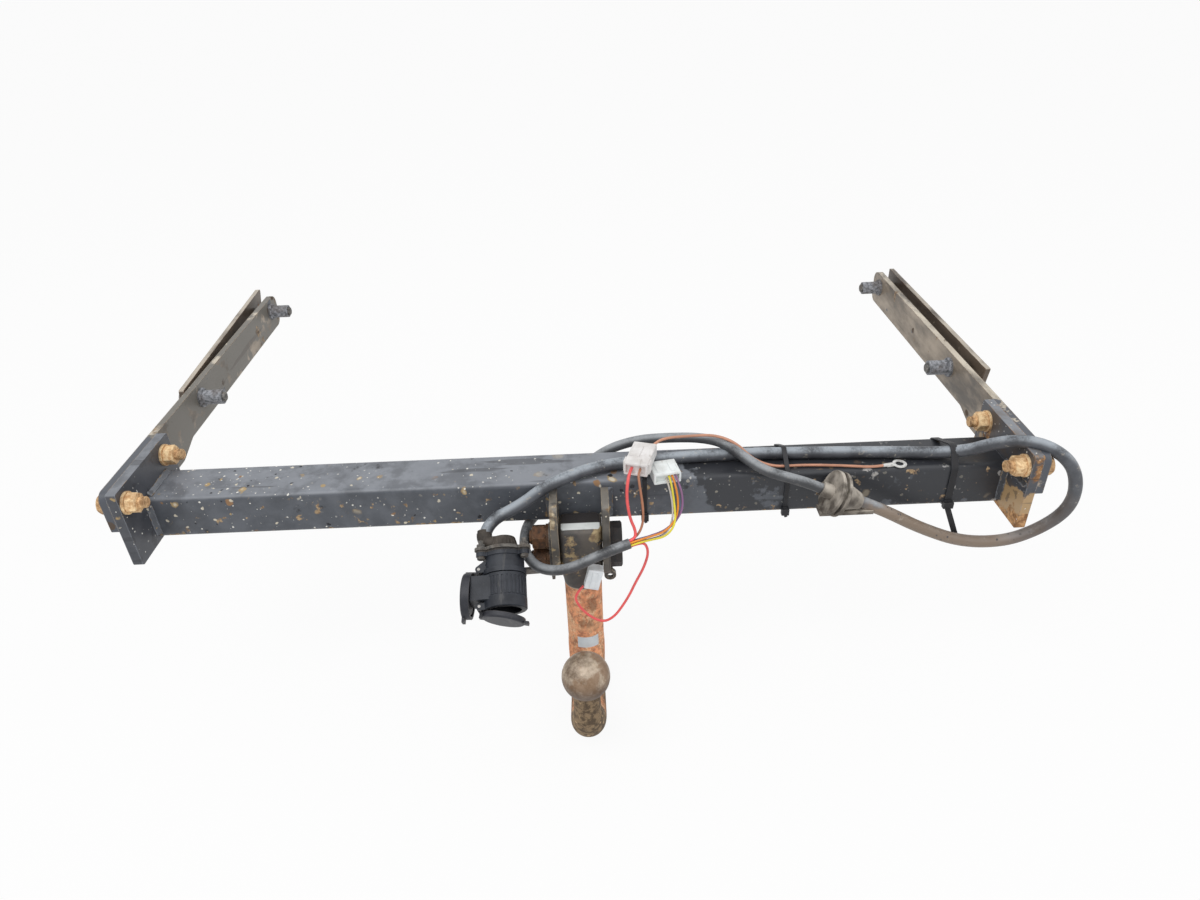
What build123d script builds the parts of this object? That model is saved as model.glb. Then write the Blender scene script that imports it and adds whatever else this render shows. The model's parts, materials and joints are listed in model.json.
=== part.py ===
from build123d import *
import os
from math import cos, sin, tan, acos, radians, sqrt

# Towbar: crossbar with side arms, swan neck with 50 mm ball, socket with adapter, loose wiring harness.
# Origin: middle of the four chassis bolts. X along the bar, Y towards the car, Z up.

# chassis bolts and sleeves, along X
chassis_pitch = 274.0       # front bolt to rear bolt of one arm
sleeve_length = 23.0
sleeve_od = 18.0
collar_od = 24.0
collar_thick = 4.0
chassis_tip = 3.0           # bolt end beyond its sleeve

# crossbar tube
tube_length = 910.0
tube_depth = 60.0
tube_height = 50.0
tube_wall = 4.0
tube_corner = 5.5
tube_ahead = 331.0          # tube's front face, ahead of the chassis bolts' middle
tube_drop = 18.0            # tube's top face, below the chassis bolts' axis

# end plates
plate_thick = 10.0
plate_ahead = 43.0          # in front of the tube
plate_behind = 19.0         # behind the tube
plate_above = 36.0
plate_below = 3.0
plate_corner = 3.0
nose_corner = 10.0

# side arms
arm_thick = 8.0
arm_height = 46.0
arm_tail = 29.0             # behind the rear chassis bolt
arm_tail_corner = 14.0
arm_belly = 12.0            # extra depth of the arm beside the end plate
belly_slope = 34.0
belly_behind = 33.0         # belly's straight end, behind the end plate

# outer plates
outer_thick = 6.0
outer_height = 40.0
outer_gap = 13.0            # between right arm and its outer plate
outer_nose = 48.0           # ahead of the front chassis bolt
outer_nose_cut = 9.0
outer_tail = 26.0
outer_tail_cut = 22.0
splay = 3.0                 # degrees, left outer plate
splay_gap = 2.0             # left plate at the front chassis bolt

# M12 and M16 fasteners
m12 = 12.0
m12_flats = 19.0
m12_head = 7.5
m12_nut = 10.8
m12_washer_od = 24.0
m12_washer = 2.5
m16 = 16.0
m16_flats = 24.0
m16_head = 10.0
m16_nut = 14.8
m16_washer_od = 28.0
m16_washer = 3.0
bolt_gap = 0.5              # radial, bolt to plate hole
thread_gap = 0.05           # radial, bolt to nut
arm_bolt_inset = 13.0       # front arm bolt behind the end plate's front edge
arm_bolt_rear = 19.0        # rear arm bolt ahead of the end plate's back edge
bolt_end = 8.0              # arm bolt end beyond its nut
neck_bolt_end = 3.0

# cheek plates
cheek_gap = 46.0            # between the cheeks
cheek_thick = 8.0
cheek_ahead = 38.0          # in front of the tube
cheek_under = 18.0          # length welded below the tube
cheek_below = 98.0          # foot below the tube's top
cheek_corner = 8.0
cheek_top = 8.0             # below the tube's top
weld_leg = 5.0

# swan neck
head_side_gap = 0.3         # head to each cheek
head_depth = 36.0
head_top = 38.0             # below the tube's top
head_throat = 22.0          # head's taper into the shank
head_height = 58.0
head_round = 9.0
neck_axis = 18.5            # ahead of the tube's front face
neck_bolt_top = 56.0        # upper neck bolt below the tube's top
neck_bolt_pitch = 28.0
shank_d = 41.0
bend_d = 39.5
stem_d = 28.5
neck_bend = 53.5            # bend radius on the centreline
bend_depth = 201.0          # bend centre below the tube's top
ball_d = 50.0
ball_drop = 155.0           # ball centre below the tube's top
ball_flat = 20.0            # diameter of the flat on top

# breakaway eye
eye_od = 13.0
eye_hole = 6.5
eye_thick = 5.0

# socket: its own frame has z along the plug's way out and x to the right
socket_x = -79.5
socket_ahead = 51.0
socket_below = 51.0
socket_tilt = 33.0          # degrees below level
socket_lean = 2.0           # degrees to the right
bracket_thick = 3.0
bracket_edge = 26.0
strap_top = 62.0            # from the socket's axis down to the strap
strap_width = 18.0
strap_leg = 12.0            # half width of the leg down to the strap
gasket_thick = 2.0
flange_thick = 4.0
flange_d = 44.0
barrel_d = 41.0
mouth_z = 24.0
mouth_d = 45.0
mouth_band = 5.0
bore_d = 37.5
bore_floor = 4.0
rear_neck_d = 24.0
rear_neck = 8.0
screw_circle = 25.5
screw_d = 5.0
screw_head_d = 8.0
screw_head = 3.2
socket_nut_flats = 8.0
socket_nut = 4.0
screw_tail = 8.0            # beyond the bracket
ear_d = 10.0
contact_d = 3.0
contact_count = 12
contact_circle = 15.0
insert_height = 8.0
insert_gap = 0.3

# adapter
adapter_gap = 1.0           # between mouth and adapter
plug_d = 36.0
plug_depth = 10.6
grip_d = 44.0
grip_root_d = 42.4
grip_length = 26.0
grip_ribs = 30
grip_rib_width = 2.2
end_ring_d = 44.5
end_ring = 8.5
block_width = 34.0          # flat block on the adapter's hinge side
block_start = 1.5
female_d = 33.0
female_depth = 22.0
female_insert = 12.0
female_holes = 6
pin_length = 6.5
pin_gap = 0.35

# lids, on hinges beside the barrel
lid_gap = 0.6               # lid's rim to the mouth when shut
socket_lid_d = 46.5
socket_lid_depth = 9.0
adapter_lid_d = 43.5
adapter_lid_depth = 6.0
lid_wall = 3.0
lid_pad_edge = 5.0          # pad's edge inside the lid's rim
lid_pad_below = 1.0         # pad's face below the rim
lid_rest_gap = 0.3          # rim to the adapter's side block
lid_tab = 9.0
socket_lid_open = 94.0      # degrees, resting open beside the adapter
adapter_lid_open = 12.0     # degrees, as it hangs
hinge_x = -25.0
socket_hinge_z = 18.0
adapter_hinge_inset = 3.4   # ahead of the adapter's end face
hinge_pin_d = 3.0
knuckle_d = 7.0
knuckle_width = 14.0
lug_width = 3.5
hinge_gap = 0.3
pin_fit = 0.08
spring_wire = 0.9
spring_turns = 4
spring_room = 6.0

# cable boot and cables
boot_d = 29.0
boot_rear_d = 24.0
boot_length = 13.5
boot_ridges = 24
boot_ridge = 0.7
elbow_x = -20.0             # side outlet's axis beside the socket's axis
elbow_d = 16.0
elbow_outlet_d = 14.6
elbow_end = 26.0            # behind the flange
main_cable_d = 12.0
harness_cable_d = 10.0
cable_fit = 0.05
wire_d = 2.2
feed_wire_d = 3.2
strand_circle = 3.2         # radius of the ring of wires in the sheath's end
strand_count = 7

# grommet between the two cables
grommet_d = 48.0
grommet_lip = 3.2
grommet_groove = 4.0
grommet_groove_depth = 4.0
grommet_cone = 24.0
grommet_cone_d = 33.0
grommet_cone_end_d = 17.0
grommet_foot = (56.0, 16.0, 4.0)
grommet_foot_shift = 22.0   # foot's middle to the right of the disc's lowest point
grommet_saddle = 0.4        # radial, cable over the foot
grommet_seat = 6.0          # cable ends inside the grommet

# connectors and ring terminal
left_connector = (25.0, 43.0, 14.0)
right_connector = (29.0, 26.0, 12.0)
small_connector = (16.0, 11.0, 26.0)
plug_wall = 2.2
plug_chamber = 3.0          # depth of the chamber that the wires end in
terminal_hole = 8.4
terminal_od = 15.0
terminal_sheet = 1.0
terminal_barrel = 9.0

# cable ties
tie_thick = 1.4
tie_gap = 0.3
tie_width = 4.8
tie_wide = 7.5
tie_head = (6.0, 8.0)
tie_slack = 0.4             # round the cable
tie_stub = 4.0              # cut end of the two left ties
tie_left_x = 70.0
tie_middle_x = 222.0
tie_right_in = 56.0         # inside the tube's end
tie_tail = 34.0

plate_x = tube_length / 2
arm_x = plate_x + plate_thick
arm_out_x = arm_x + arm_thick
cheek_x = cheek_gap / 2
tube_front = -tube_ahead
tube_back = tube_front + tube_depth
tube_top = -tube_drop
plate_front = tube_front - plate_ahead
plate_back = tube_back + plate_behind
plate_top = tube_top + plate_above
plate_bottom = tube_top - tube_height - plate_below
arm_bottom = plate_top - arm_height
arm_bolt_front_y = plate_front + arm_bolt_inset
arm_bolt_back_y = plate_back - arm_bolt_rear
neck_y = tube_front - neck_axis
chassis_ys = (-chassis_pitch / 2, chassis_pitch / 2)
nodes = {}


def at_tube(x, ahead, above):
    """A point from the middle of the tube's top front edge: x, y behind it and z above it."""
    return (x, tube_front + ahead, tube_top + above)


def add(name, *solids):
    nodes[name] = solids[0] if len(solids) == 1 else Compound(children=list(solids), label=name)


def along_x(x, y, z, side=1):
    """A plane whose z axis runs along +X or, for side -1, along -X."""
    return Plane(origin=(x, y, z), x_dir=(0, 1, 0), z_dir=(side, 0, 0))


def rounded(points, radii):
    """A closed outline with each corner rounded by its own radius."""
    outline = make_face(Polyline(*points, close=True))
    for point, radius in zip(points, radii):
        if radius > 0:
            corner = outline.vertices().sort_by_distance(Vector(point[0], point[1], 0))[0]
            outline = fillet(corner, radius)
    return outline


def side_plate(points, radii, x, thick, side, holes=(), hole_d=0):
    """A plate in the YZ plane whose inner face lies at x, thick away from the middle."""
    outline = rounded(points, radii)
    for y, z in holes:
        outline -= Pos(y, z) * Circle(hole_d / 2)
    start = x if side > 0 else -x - thick
    return extrude(Plane.YZ.offset(start) * outline, amount=thick)


def cylinder(radius, start, end):
    return Pos(0, 0, start) * Cylinder(radius, end - start, align=(Align.CENTER, Align.CENTER, Align.MIN))


def ring(outer, inner, start, end):
    return cylinder(outer, start, end) - cylinder(inner, start - 1, end + 1)


def hexagon(flats, height, both=False):
    """A hexagonal prism on the XY plane with its corners turned down at the top, or at both ends."""
    corner = flats / sqrt(3)
    drop = (corner - flats * 0.48) * tan(radians(30))
    profile = [(0, 0), (flats * 0.48 if both else corner, 0), (corner, drop if both else 0),
               (corner, height - drop), (flats * 0.48, height), (0, height)]
    if not both:
        profile.pop(2)
    turned = revolve(make_face(Plane.XZ * Polyline(*profile, close=True)), Axis.Z)
    return extrude(RegularPolygon(flats / 2, 6, major_radius=False), amount=height) & turned


def bolt(size, flats, head, length):
    """Head below the XY plane, shank above it with a chamfered end."""
    shank = chamfer(Cylinder(size / 2, length, align=(Align.CENTER, Align.CENTER, Align.MIN))
                    .edges().group_by(Axis.Z)[-1], size * 0.08)
    return Rotation(180, 0, 0) * hexagon(flats, head) + shank


def nut(size, flats, height):
    return hexagon(flats, height, both=True) - cylinder(size / 2 + thread_gap, -1, height + 1)


def bead(x, y, z, length, axis, leg_y, leg_z):
    """A triangular weld seam along an axis, its square corner at the point, legs along the others."""
    if axis == "x":
        face = Plane(origin=(x, y, z), x_dir=(0, 1, 0), z_dir=(1, 0, 0))
        corner = [(0, 0), (leg_y, 0), (0, leg_z)]
    elif axis == "y":
        face = Plane(origin=(x, y, z), x_dir=(1, 0, 0), z_dir=(0, -1, 0))
        corner = [(0, 0), (leg_y, 0), (0, leg_z)]
        length = -length
    else:
        face = Plane(origin=(x, y, z), x_dir=(1, 0, 0), z_dir=(0, 0, 1))
        corner = [(0, 0), (leg_y, 0), (0, leg_z)]
    return extrude(make_face(face * Polyline(*corner, close=True)), amount=length)


# crossbar and end plates
def make_crossbar():
    tube = RectangleRounded(tube_depth, tube_height, tube_corner)
    tube -= RectangleRounded(tube_depth - 2 * tube_wall, tube_height - 2 * tube_wall, tube_corner - tube_wall)
    middle = Pos(tube_front + tube_depth / 2, tube_top - tube_height / 2)
    add("cross_tube", extrude(Plane.YZ.offset(-plate_x) * middle * tube, amount=tube_length))
    holes = [(arm_bolt_front_y, 0), (arm_bolt_back_y, 0)]
    corners = [(plate_front, plate_top), (plate_front, plate_bottom),
               (plate_back, plate_bottom), (plate_back, plate_top)]
    welds = []
    for name, side in (("left", -1), ("right", 1)):
        add("end_plate_" + name, side_plate(corners, [plate_corner] * 4, plate_x, plate_thick, side,
                                            holes, m12 + 2 * bolt_gap))
        x = side * plate_x
        leg = -side * weld_leg
        run = tube_depth - 2 * tube_corner
        welds.append(bead(x, tube_front + tube_corner, tube_top, run, "y", leg, weld_leg))
        rise = tube_height - 2 * tube_corner
        low = tube_top - tube_height + tube_corner
        welds.append(bead(x, tube_front, low, rise, "z", leg, -weld_leg))
        welds.append(bead(x, tube_back, low, rise, "z", leg, weld_leg))
    add("tube_end_welds", *welds)


# side arms and outer plates
def make_arms():
    tail = chassis_pitch / 2 + arm_tail
    belly = arm_bottom - arm_belly
    corners = [(plate_front, plate_top), (plate_front, arm_bottom),
               (tube_front + arm_belly, arm_bottom), (tube_front + 2 * arm_belly, belly),
               (plate_back + belly_behind, belly), (plate_back + belly_behind + belly_slope, arm_bottom),
               (tail, arm_bottom), (tail, plate_top)]
    radii = [nose_corner, plate_corner, 6, 6, 12, 12, arm_tail_corner, arm_tail_corner]
    holes = [(arm_bolt_front_y, 0), (arm_bolt_back_y, 0)] + [(y, 0) for y in chassis_ys]
    for name, side in (("left", -1), ("right", 1)):
        add("side_arm_" + name, side_plate(corners, radii, arm_x, arm_thick, side, holes, m12 + 2 * bolt_gap))

    nose = chassis_ys[0] - outer_nose
    end = chassis_ys[1] + outer_tail
    half = outer_height / 2
    right = [(nose, half), (nose + outer_nose_cut, -half), (end, -half), (end, half)]
    add("outer_plate_right", side_plate(right, [1.5] * 4, arm_out_x + outer_gap, outer_thick, 1,
                                        [(y, 0) for y in chassis_ys], m12 + 2 * bolt_gap))
    left = [(nose + outer_nose - outer_height / 2, half), (nose + outer_nose - outer_height / 2, -half),
            (end, -half), (end + outer_tail_cut, half)]
    blank = side_plate(left, [3, 3, 3, 3], 0, outer_thick, -1)
    hinge_y = chassis_ys[0]
    swung = Pos(-arm_out_x - splay_gap, hinge_y, 0) * Rotation(0, 0, splay) * Pos(0, -hinge_y, 0) * blank
    for y in chassis_ys:
        swung -= along_x(-arm_out_x - 60, y, 0) * cylinder(m12 / 2 + bolt_gap, 0, 100)
    add("outer_plate_left", swung)


def outer_face(side, y):
    """Distance from the middle to the outer plate's outer face beside a chassis bolt."""
    if side > 0:
        return arm_out_x + outer_gap + outer_thick
    lean = radians(splay)
    reach = m12_flats / sqrt(3)
    return arm_out_x + splay_gap + outer_thick / cos(lean) + (y - chassis_ys[0] + reach) * tan(lean)


# bolts that join arms, end plates, outer plates and chassis
def make_fasteners():
    bolts, nuts, washers = [], [], []
    for side in (-1, 1):
        for y in (arm_bolt_front_y, arm_bolt_back_y):
            grip = arm_thick + plate_thick + m12_washer
            outside = along_x(side * arm_out_x, y, 0, -side)
            bolts.append(outside * bolt(m12, m12_flats, m12_head, grip + m12_nut + bolt_end))
            inside = along_x(side * plate_x, y, 0, -side)
            washers.append(inside * ring(m12_washer_od / 2, m12 / 2 + bolt_gap, 0, m12_washer))
            turn = Rotation(0, 0, 17 if y < tube_front else 4)
            nuts.append(inside * Pos(0, 0, m12_washer) * turn * nut(m12, m12_flats, m12_nut))
    add("arm_bolts", *bolts)
    add("arm_nuts", *nuts)
    add("arm_washers", *washers)

    shanks, sleeves, collars = [], [], []
    for side in (-1, 1):
        for y in chassis_ys:
            start = outer_face(side, y)
            length = start - arm_x + collar_thick + sleeve_length + chassis_tip
            shanks.append(along_x(side * start, y, 0, -side) * bolt(m12, m12_flats, m12_head, length))
            foot = along_x(side * arm_x, y, 0, -side)
            bore = m12 / 2 + thread_gap
            collar = ring(collar_od / 2, bore, 0, collar_thick)
            collars.append(foot * fillet(collar.edges().group_by(Axis.Z)[-1].sort_by(SortBy.LENGTH)[-1], 1.8))
            sleeve = ring(sleeve_od / 2, bore, collar_thick, collar_thick + sleeve_length)
            sleeves.append(foot * sleeve)
    add("chassis_bolts", *shanks)
    add("chassis_sleeves", *sleeves)
    add("chassis_collars", *collars)


# cheek plates with the breakaway eye
def make_cheeks():
    front = tube_front - cheek_ahead
    foot = tube_top - cheek_below
    under = tube_top - tube_height
    back = tube_front + cheek_under
    inside = tube_front + tube_corner
    corners = [(front, tube_top - cheek_top), (front, foot), (neck_y + cheek_corner, foot),
               (back, under - weld_leg - 10), (back, under), (inside, under), (inside, tube_top - cheek_top)]
    radii = [cheek_corner, cheek_corner, cheek_corner, 4, 0, 0, 0]
    tube = extrude(Plane.YZ.offset(-cheek_gap) * Pos(tube_front + tube_depth / 2, tube_top - tube_height / 2)
                   * RectangleRounded(tube_depth, tube_height, tube_corner), amount=2 * cheek_gap)
    holes = [(neck_y, tube_top - neck_bolt_top), (neck_y, tube_top - neck_bolt_top - neck_bolt_pitch)]
    welds = []
    for name, side in (("left", -1), ("right", 1)):
        plate = side_plate(corners, radii, cheek_x, cheek_thick, side, holes, m16 + 2 * bolt_gap)
        add("cheek_" + name, plate - tube)
        x = side * (cheek_x + cheek_thick)
        rise = tube_height - tube_corner - cheek_top
        welds.append(bead(x, tube_front, under + tube_corner, rise, "z", side * weld_leg, -weld_leg))
    add("cheek_welds", *welds)

    eye_x = cheek_x + cheek_thick - 1
    eye_z = foot - eye_od * 0.46
    eye = Plane(origin=(eye_x, front + cheek_corner + eye_thick, eye_z), x_dir=(1, 0, 0), z_dir=(0, -1, 0))
    blank = Circle(eye_od / 2) + Pos(-1, eye_od * 0.3) * Rectangle(cheek_thick, eye_od * 0.6)
    blank -= Pos(0, -1) * Circle(eye_hole / 2)
    lug = extrude(eye * blank, amount=eye_thick)
    add("breakaway_eye", lug - nodes["cheek_right"])


# swan neck: forged head, round shank, bend, stem and ball
def make_neck():
    top = tube_top - head_top
    bottom = top - head_height
    bend_z = tube_top - bend_depth
    ball_y = neck_y - 2 * neck_bend
    head_width = cheek_gap - 2 * head_side_gap
    head_section = RectangleRounded(head_width, head_depth, head_round)
    head = extrude(Plane(origin=(0, neck_y, bottom), z_dir=(0, 0, 1)) * head_section, amount=head_height)
    head = fillet(head.edges().group_by(Axis.Z)[-1], 4)
    shoulder = bottom - head_throat
    throat = loft([Plane(origin=(0, neck_y, bottom), z_dir=(0, 0, 1)) * head_section,
                   Plane(origin=(0, neck_y, shoulder), z_dir=(0, 0, 1)) * Circle(shank_d / 2)])

    drop = Line((0, neck_y, shoulder), (0, neck_y, bend_z))
    bend = CenterArc((0, 0, 0), neck_bend, 0, -180)
    bend = Plane(origin=(0, neck_y - neck_bend, bend_z), x_dir=(0, 1, 0), z_dir=(1, 0, 0)) * bend
    rise = Line((0, ball_y, bend_z), (0, ball_y, tube_top - ball_drop))
    shank = sweep(Plane(origin=drop @ 0, z_dir=(0, 0, -1)) * Circle(shank_d / 2), drop)
    stations = ((0.0, shank_d), (0.25, (shank_d + bend_d) / 2), (0.5, bend_d), (0.68, bend_d),
                (0.85, (bend_d + stem_d) / 2 + 1.5), (1.0, stem_d))
    sections = [Plane(origin=bend @ t, x_dir=(1, 0, 0), z_dir=bend % t) * Circle(d / 2) for t, d in stations]
    hook = sweep(sections, path=bend, multisection=True)
    stem = sweep(Plane(origin=rise @ 0, z_dir=(0, 0, 1)) * Circle(stem_d / 2), rise)

    flat_z = sqrt(ball_d ** 2 - ball_flat ** 2) / 2
    ball = Sphere(ball_d / 2) - Pos(0, 0, flat_z) * Box(ball_d, ball_d, ball_d,
                                                       align=(Align.CENTER, Align.CENTER, Align.MIN))
    neck = head + throat + shank + hook + stem + Pos(0, ball_y, tube_top - ball_drop) * ball
    for row in (0, 1):
        z = tube_top - neck_bolt_top - row * neck_bolt_pitch
        neck -= along_x(-cheek_gap, neck_y, z) * cylinder(m16 / 2 + bolt_gap, 0, 2 * cheek_gap)
    add("swan_neck", neck)


def make_neck_fasteners():
    bolts, nuts, washers = [], [], []
    outside = cheek_x + cheek_thick
    for row in (0, 1):
        z = tube_top - neck_bolt_top - row * neck_bolt_pitch
        grip = 2 * outside + bracket_thick + 2 * m16_washer
        head_side = along_x(outside + m16_washer, neck_y, z, -1)
        bolts.append(head_side * bolt(m16, m16_flats, m16_head, grip + m16_nut + neck_bolt_end))
        washers.append(along_x(outside, neck_y, z) * ring(m16_washer_od / 2 - 0.3, m16 / 2 + bolt_gap,
                                                          0, m16_washer))
        nut_side = along_x(-outside - bracket_thick, neck_y, z, -1)
        washers.append(nut_side * ring(m16_washer_od / 2 - 0.3, m16 / 2 + bolt_gap, 0, m16_washer))
        spin = Rotation(0, 0, 30)
        nuts.append(nut_side * Pos(0, 0, m16_washer) * spin * nut(m16, m16_flats, m16_nut))
    add("neck_bolts", *bolts)
    add("neck_nuts", *nuts)
    add("neck_washers", *washers)


# frame of the socket and everything on it
lean, tilt = radians(socket_lean), radians(socket_tilt)
socket_frame = Plane(origin=(socket_x, tube_front - socket_ahead, tube_top - socket_below),
                     x_dir=(cos(lean), cos(tilt) * sin(lean), sin(tilt) * sin(lean)),
                     z_dir=(sin(lean), -cos(tilt) * cos(lean), -sin(tilt) * cos(lean)))
screw_angles = (30, 150, 270)
flange_start = gasket_thick
flange_end = flange_start + flange_thick


def eared(diameter, ear=ear_d):
    """A round flange outline with three screw ears."""
    outline = Circle(diameter / 2)
    for angle in screw_angles:
        arm = Pos(screw_circle / 2, 0) * Rectangle(screw_circle, ear) + Pos(screw_circle, 0) * Circle(ear / 2)
        outline += Rotation(0, 0, angle) * arm
    for angle in screw_angles:
        outline -= Rotation(0, 0, angle) * Pos(screw_circle, 0) * Circle(screw_d / 2 + bolt_gap / 2)
    return outline


def make_bracket():
    tab_x = cheek_x + cheek_thick
    outline = eared(2 * bracket_edge - 4, ear_d + 3)
    low = -strap_top - strap_width
    outline += Pos(0, (low - 20) / 2) * Rectangle(2 * strap_leg, -low - 20)
    outline += Pos(50, -strap_top - strap_width / 2) * Rectangle(124, strap_width)
    outline -= Circle(rear_neck_d / 2 + 0.5)
    for angle in screw_angles:
        outline -= Rotation(0, 0, angle) * Pos(screw_circle, 0) * Circle(screw_d / 2 + bolt_gap / 2)
    plate = socket_frame * extrude(outline, amount=-bracket_thick)
    plate &= Pos(-tab_x - 100, neck_y, tube_top - 60) * Box(200, 300, 300)
    upper = tube_top - neck_bolt_top
    lower = upper - neck_bolt_pitch
    radius = m16_washer_od / 2 + 1
    strap = socket_frame.from_local_coords(Vector(0, -strap_top - strap_width / 2, -bracket_thick / 2))
    rounds = [Pos(neck_y, upper) * Circle(radius), Pos(neck_y, lower) * Circle(radius),
              Pos(strap.Y, strap.Z) * Circle(strap_width / 2 + 1)]
    tab = make_hull([edge for disc in rounds for edge in disc.edges()])
    tab -= Pos(neck_y, upper) * Circle(m16 / 2 + bolt_gap)
    tab -= Pos(neck_y, lower) * Circle(m16 / 2 + bolt_gap)
    tab = extrude(Plane.YZ.offset(-tab_x - bracket_thick) * tab, amount=bracket_thick)
    add("socket_bracket", plate + tab)
    gasket = eared(flange_d) - Circle(rear_neck_d / 2 + 0.5)
    add("socket_gasket", socket_frame * extrude(gasket, amount=gasket_thick))


def lugs(z, start_x, arm_z=None):
    """Two hinge lugs that stand out from a barrel, with the pin's hole; arms run back to arm_z."""
    pair = []
    for y in (-1, 1):
        middle = y * (knuckle_width / 2 + hinge_gap + lug_width / 2)
        web = Pos((hinge_x + start_x) / 2, middle, z) * Box(start_x - hinge_x, lug_width, knuckle_d)
        eye = Pos(hinge_x, middle, z) * Rotation(90, 0, 0) * Cylinder(knuckle_d / 2, lug_width)
        if arm_z is not None:
            rounds = [Pos(hinge_x, z) * Circle(knuckle_d / 2), Pos(start_x - 2, arm_z + 2) * Circle(2)]
            arm = make_hull([edge for disc in rounds for edge in disc.edges()])
            eye += extrude(Plane.XZ.offset(-middle - lug_width / 2) * arm, amount=lug_width)
        pair.append(web + eye)
    drill = Pos(hinge_x, 0, z) * Rotation(90, 0, 0) * Cylinder(hinge_pin_d / 2, 60)
    return pair[0] + pair[1] - drill


def hinge_pin(z):
    length = knuckle_width + 2 * (hinge_gap + lug_width) + 1
    return Pos(hinge_x, 0, z) * Rotation(90, 0, 0) * Cylinder(hinge_pin_d / 2, length)


def hinge_spring(z):
    """A torsion spring round the hinge pin, in the room beside the lid's knuckle."""
    radius = hinge_pin_d / 2 + 0.25 + spring_wire / 2
    pitch = (spring_room - spring_wire - 0.6) / spring_turns
    coil = Helix(pitch, pitch * spring_turns, radius)
    section = Plane(origin=coil @ 0, z_dir=coil % 0) * Circle(spring_wire / 2)
    wound = sweep(section, coil, is_frenet=True)
    start = knuckle_width / 2 - spring_room + 0.3 + spring_wire / 2
    return Pos(hinge_x, start, z) * Rotation(-90, 0, 0) * wound


def make_socket():
    body = extrude(Plane.XY.offset(flange_start) * eared(flange_d), amount=flange_thick)
    body += cylinder(barrel_d / 2, flange_end, mouth_z) + cylinder(rear_neck_d / 2, -rear_neck, flange_end)
    body += cylinder(mouth_d / 2, mouth_z - mouth_band, mouth_z)
    width = knuckle_width + 2 * (hinge_gap + lug_width) + 2
    body -= Pos(hinge_x - 4, 0, socket_hinge_z - knuckle_d / 2 - 1) * Box(
        14, width, mouth_z, align=(Align.CENTER, Align.CENTER, Align.MIN))
    body += lugs(socket_hinge_z, -barrel_d / 2 + 3, flange_end + screw_head + 1)
    body -= cylinder(bore_d / 2, bore_floor, mouth_z + 1)
    body -= Pos(hinge_x, 0, socket_hinge_z) * Rotation(90, 0, 0) * Cylinder(knuckle_d / 2 + 1, knuckle_width
                                                                            + 2 * hinge_gap)
    add("socket_housing", socket_frame * body)

    insert = cylinder(bore_d / 2 - insert_gap, bore_floor, bore_floor + insert_height)
    for spot in contact_spots():
        insert -= Pos(*spot, 0) * cylinder(contact_d / 2 + pin_gap, bore_floor + 2, bore_floor + insert_height + 1)
    add("socket_insert", socket_frame * insert)

    screws, nuts = [], []
    for angle in screw_angles:
        spot = Rotation(0, 0, angle) * Pos(screw_circle, 0, 0)
        head = cylinder(screw_head_d / 2, flange_end, flange_end + screw_head)
        head = fillet(head.edges().group_by(Axis.Z)[-1], 1.2)
        slot = Pos(0, 0, flange_end + screw_head) * (Box(5, 1.1, 3) + Box(1.1, 5, 3))
        shank = cylinder(screw_d / 2, -bracket_thick - screw_tail, flange_end)
        screws.append(socket_frame * spot * (head - slot + shank))
        nuts.append(socket_frame * spot * Pos(0, 0, -bracket_thick - socket_nut)
                    * nut(screw_d, socket_nut_flats, socket_nut))
    add("socket_screws", *screws)
    add("socket_nuts", *nuts)


def contact_spots():
    spots = [(0.0, 0.0)]
    for number in range(contact_count):
        turn = radians(360 * number / contact_count + 15)
        spots.append((contact_circle * cos(turn), contact_circle * sin(turn)))
    return spots


def lid(diameter, depth, hinge_z, rim_z):
    """A round lid as shut: a rim on rim_z round a sealing pad, and a knuckle on the hinge pin."""
    disc = cylinder(diameter / 2, rim_z, rim_z + depth)
    disc = fillet(disc.edges().group_by(Axis.Z)[-1], 2.5)
    disc -= cylinder(diameter / 2 - lid_wall, rim_z - 1, rim_z + depth - lid_wall)
    disc += cylinder(diameter / 2 - lid_pad_edge, rim_z + lid_pad_below, rim_z + depth - 1)
    width = knuckle_width - spring_room
    y = -spring_room / 2
    arm_top = rim_z + depth - 1
    reach = -diameter / 2 + lid_wall + 1 - hinge_x
    neck = Pos(hinge_x + reach / 2, y, (hinge_z + arm_top) / 2) * Box(reach, width, arm_top - hinge_z)
    neck -= Pos(0, 0, rim_z - 50) * Box(diameter - 1, 99, 100)
    knuckle = Pos(hinge_x, y, hinge_z) * Rotation(90, 0, 0) * Cylinder(knuckle_d / 2, width)
    tab = Pos(diameter / 2 + 1, 0, rim_z + depth - 2) * Box(6, lid_tab, 3)
    whole = disc + neck + knuckle + tab
    return whole - Pos(hinge_x, 0, hinge_z) * Rotation(90, 0, 0) * Cylinder(hinge_pin_d / 2 + pin_fit, 60)


def swing(piece, hinge_z, angle):
    """The piece turned open about the hinge pin."""
    return Pos(hinge_x, 0, hinge_z) * Rotation(0, -angle, 0) * Pos(-hinge_x, 0, -hinge_z) * piece


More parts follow.
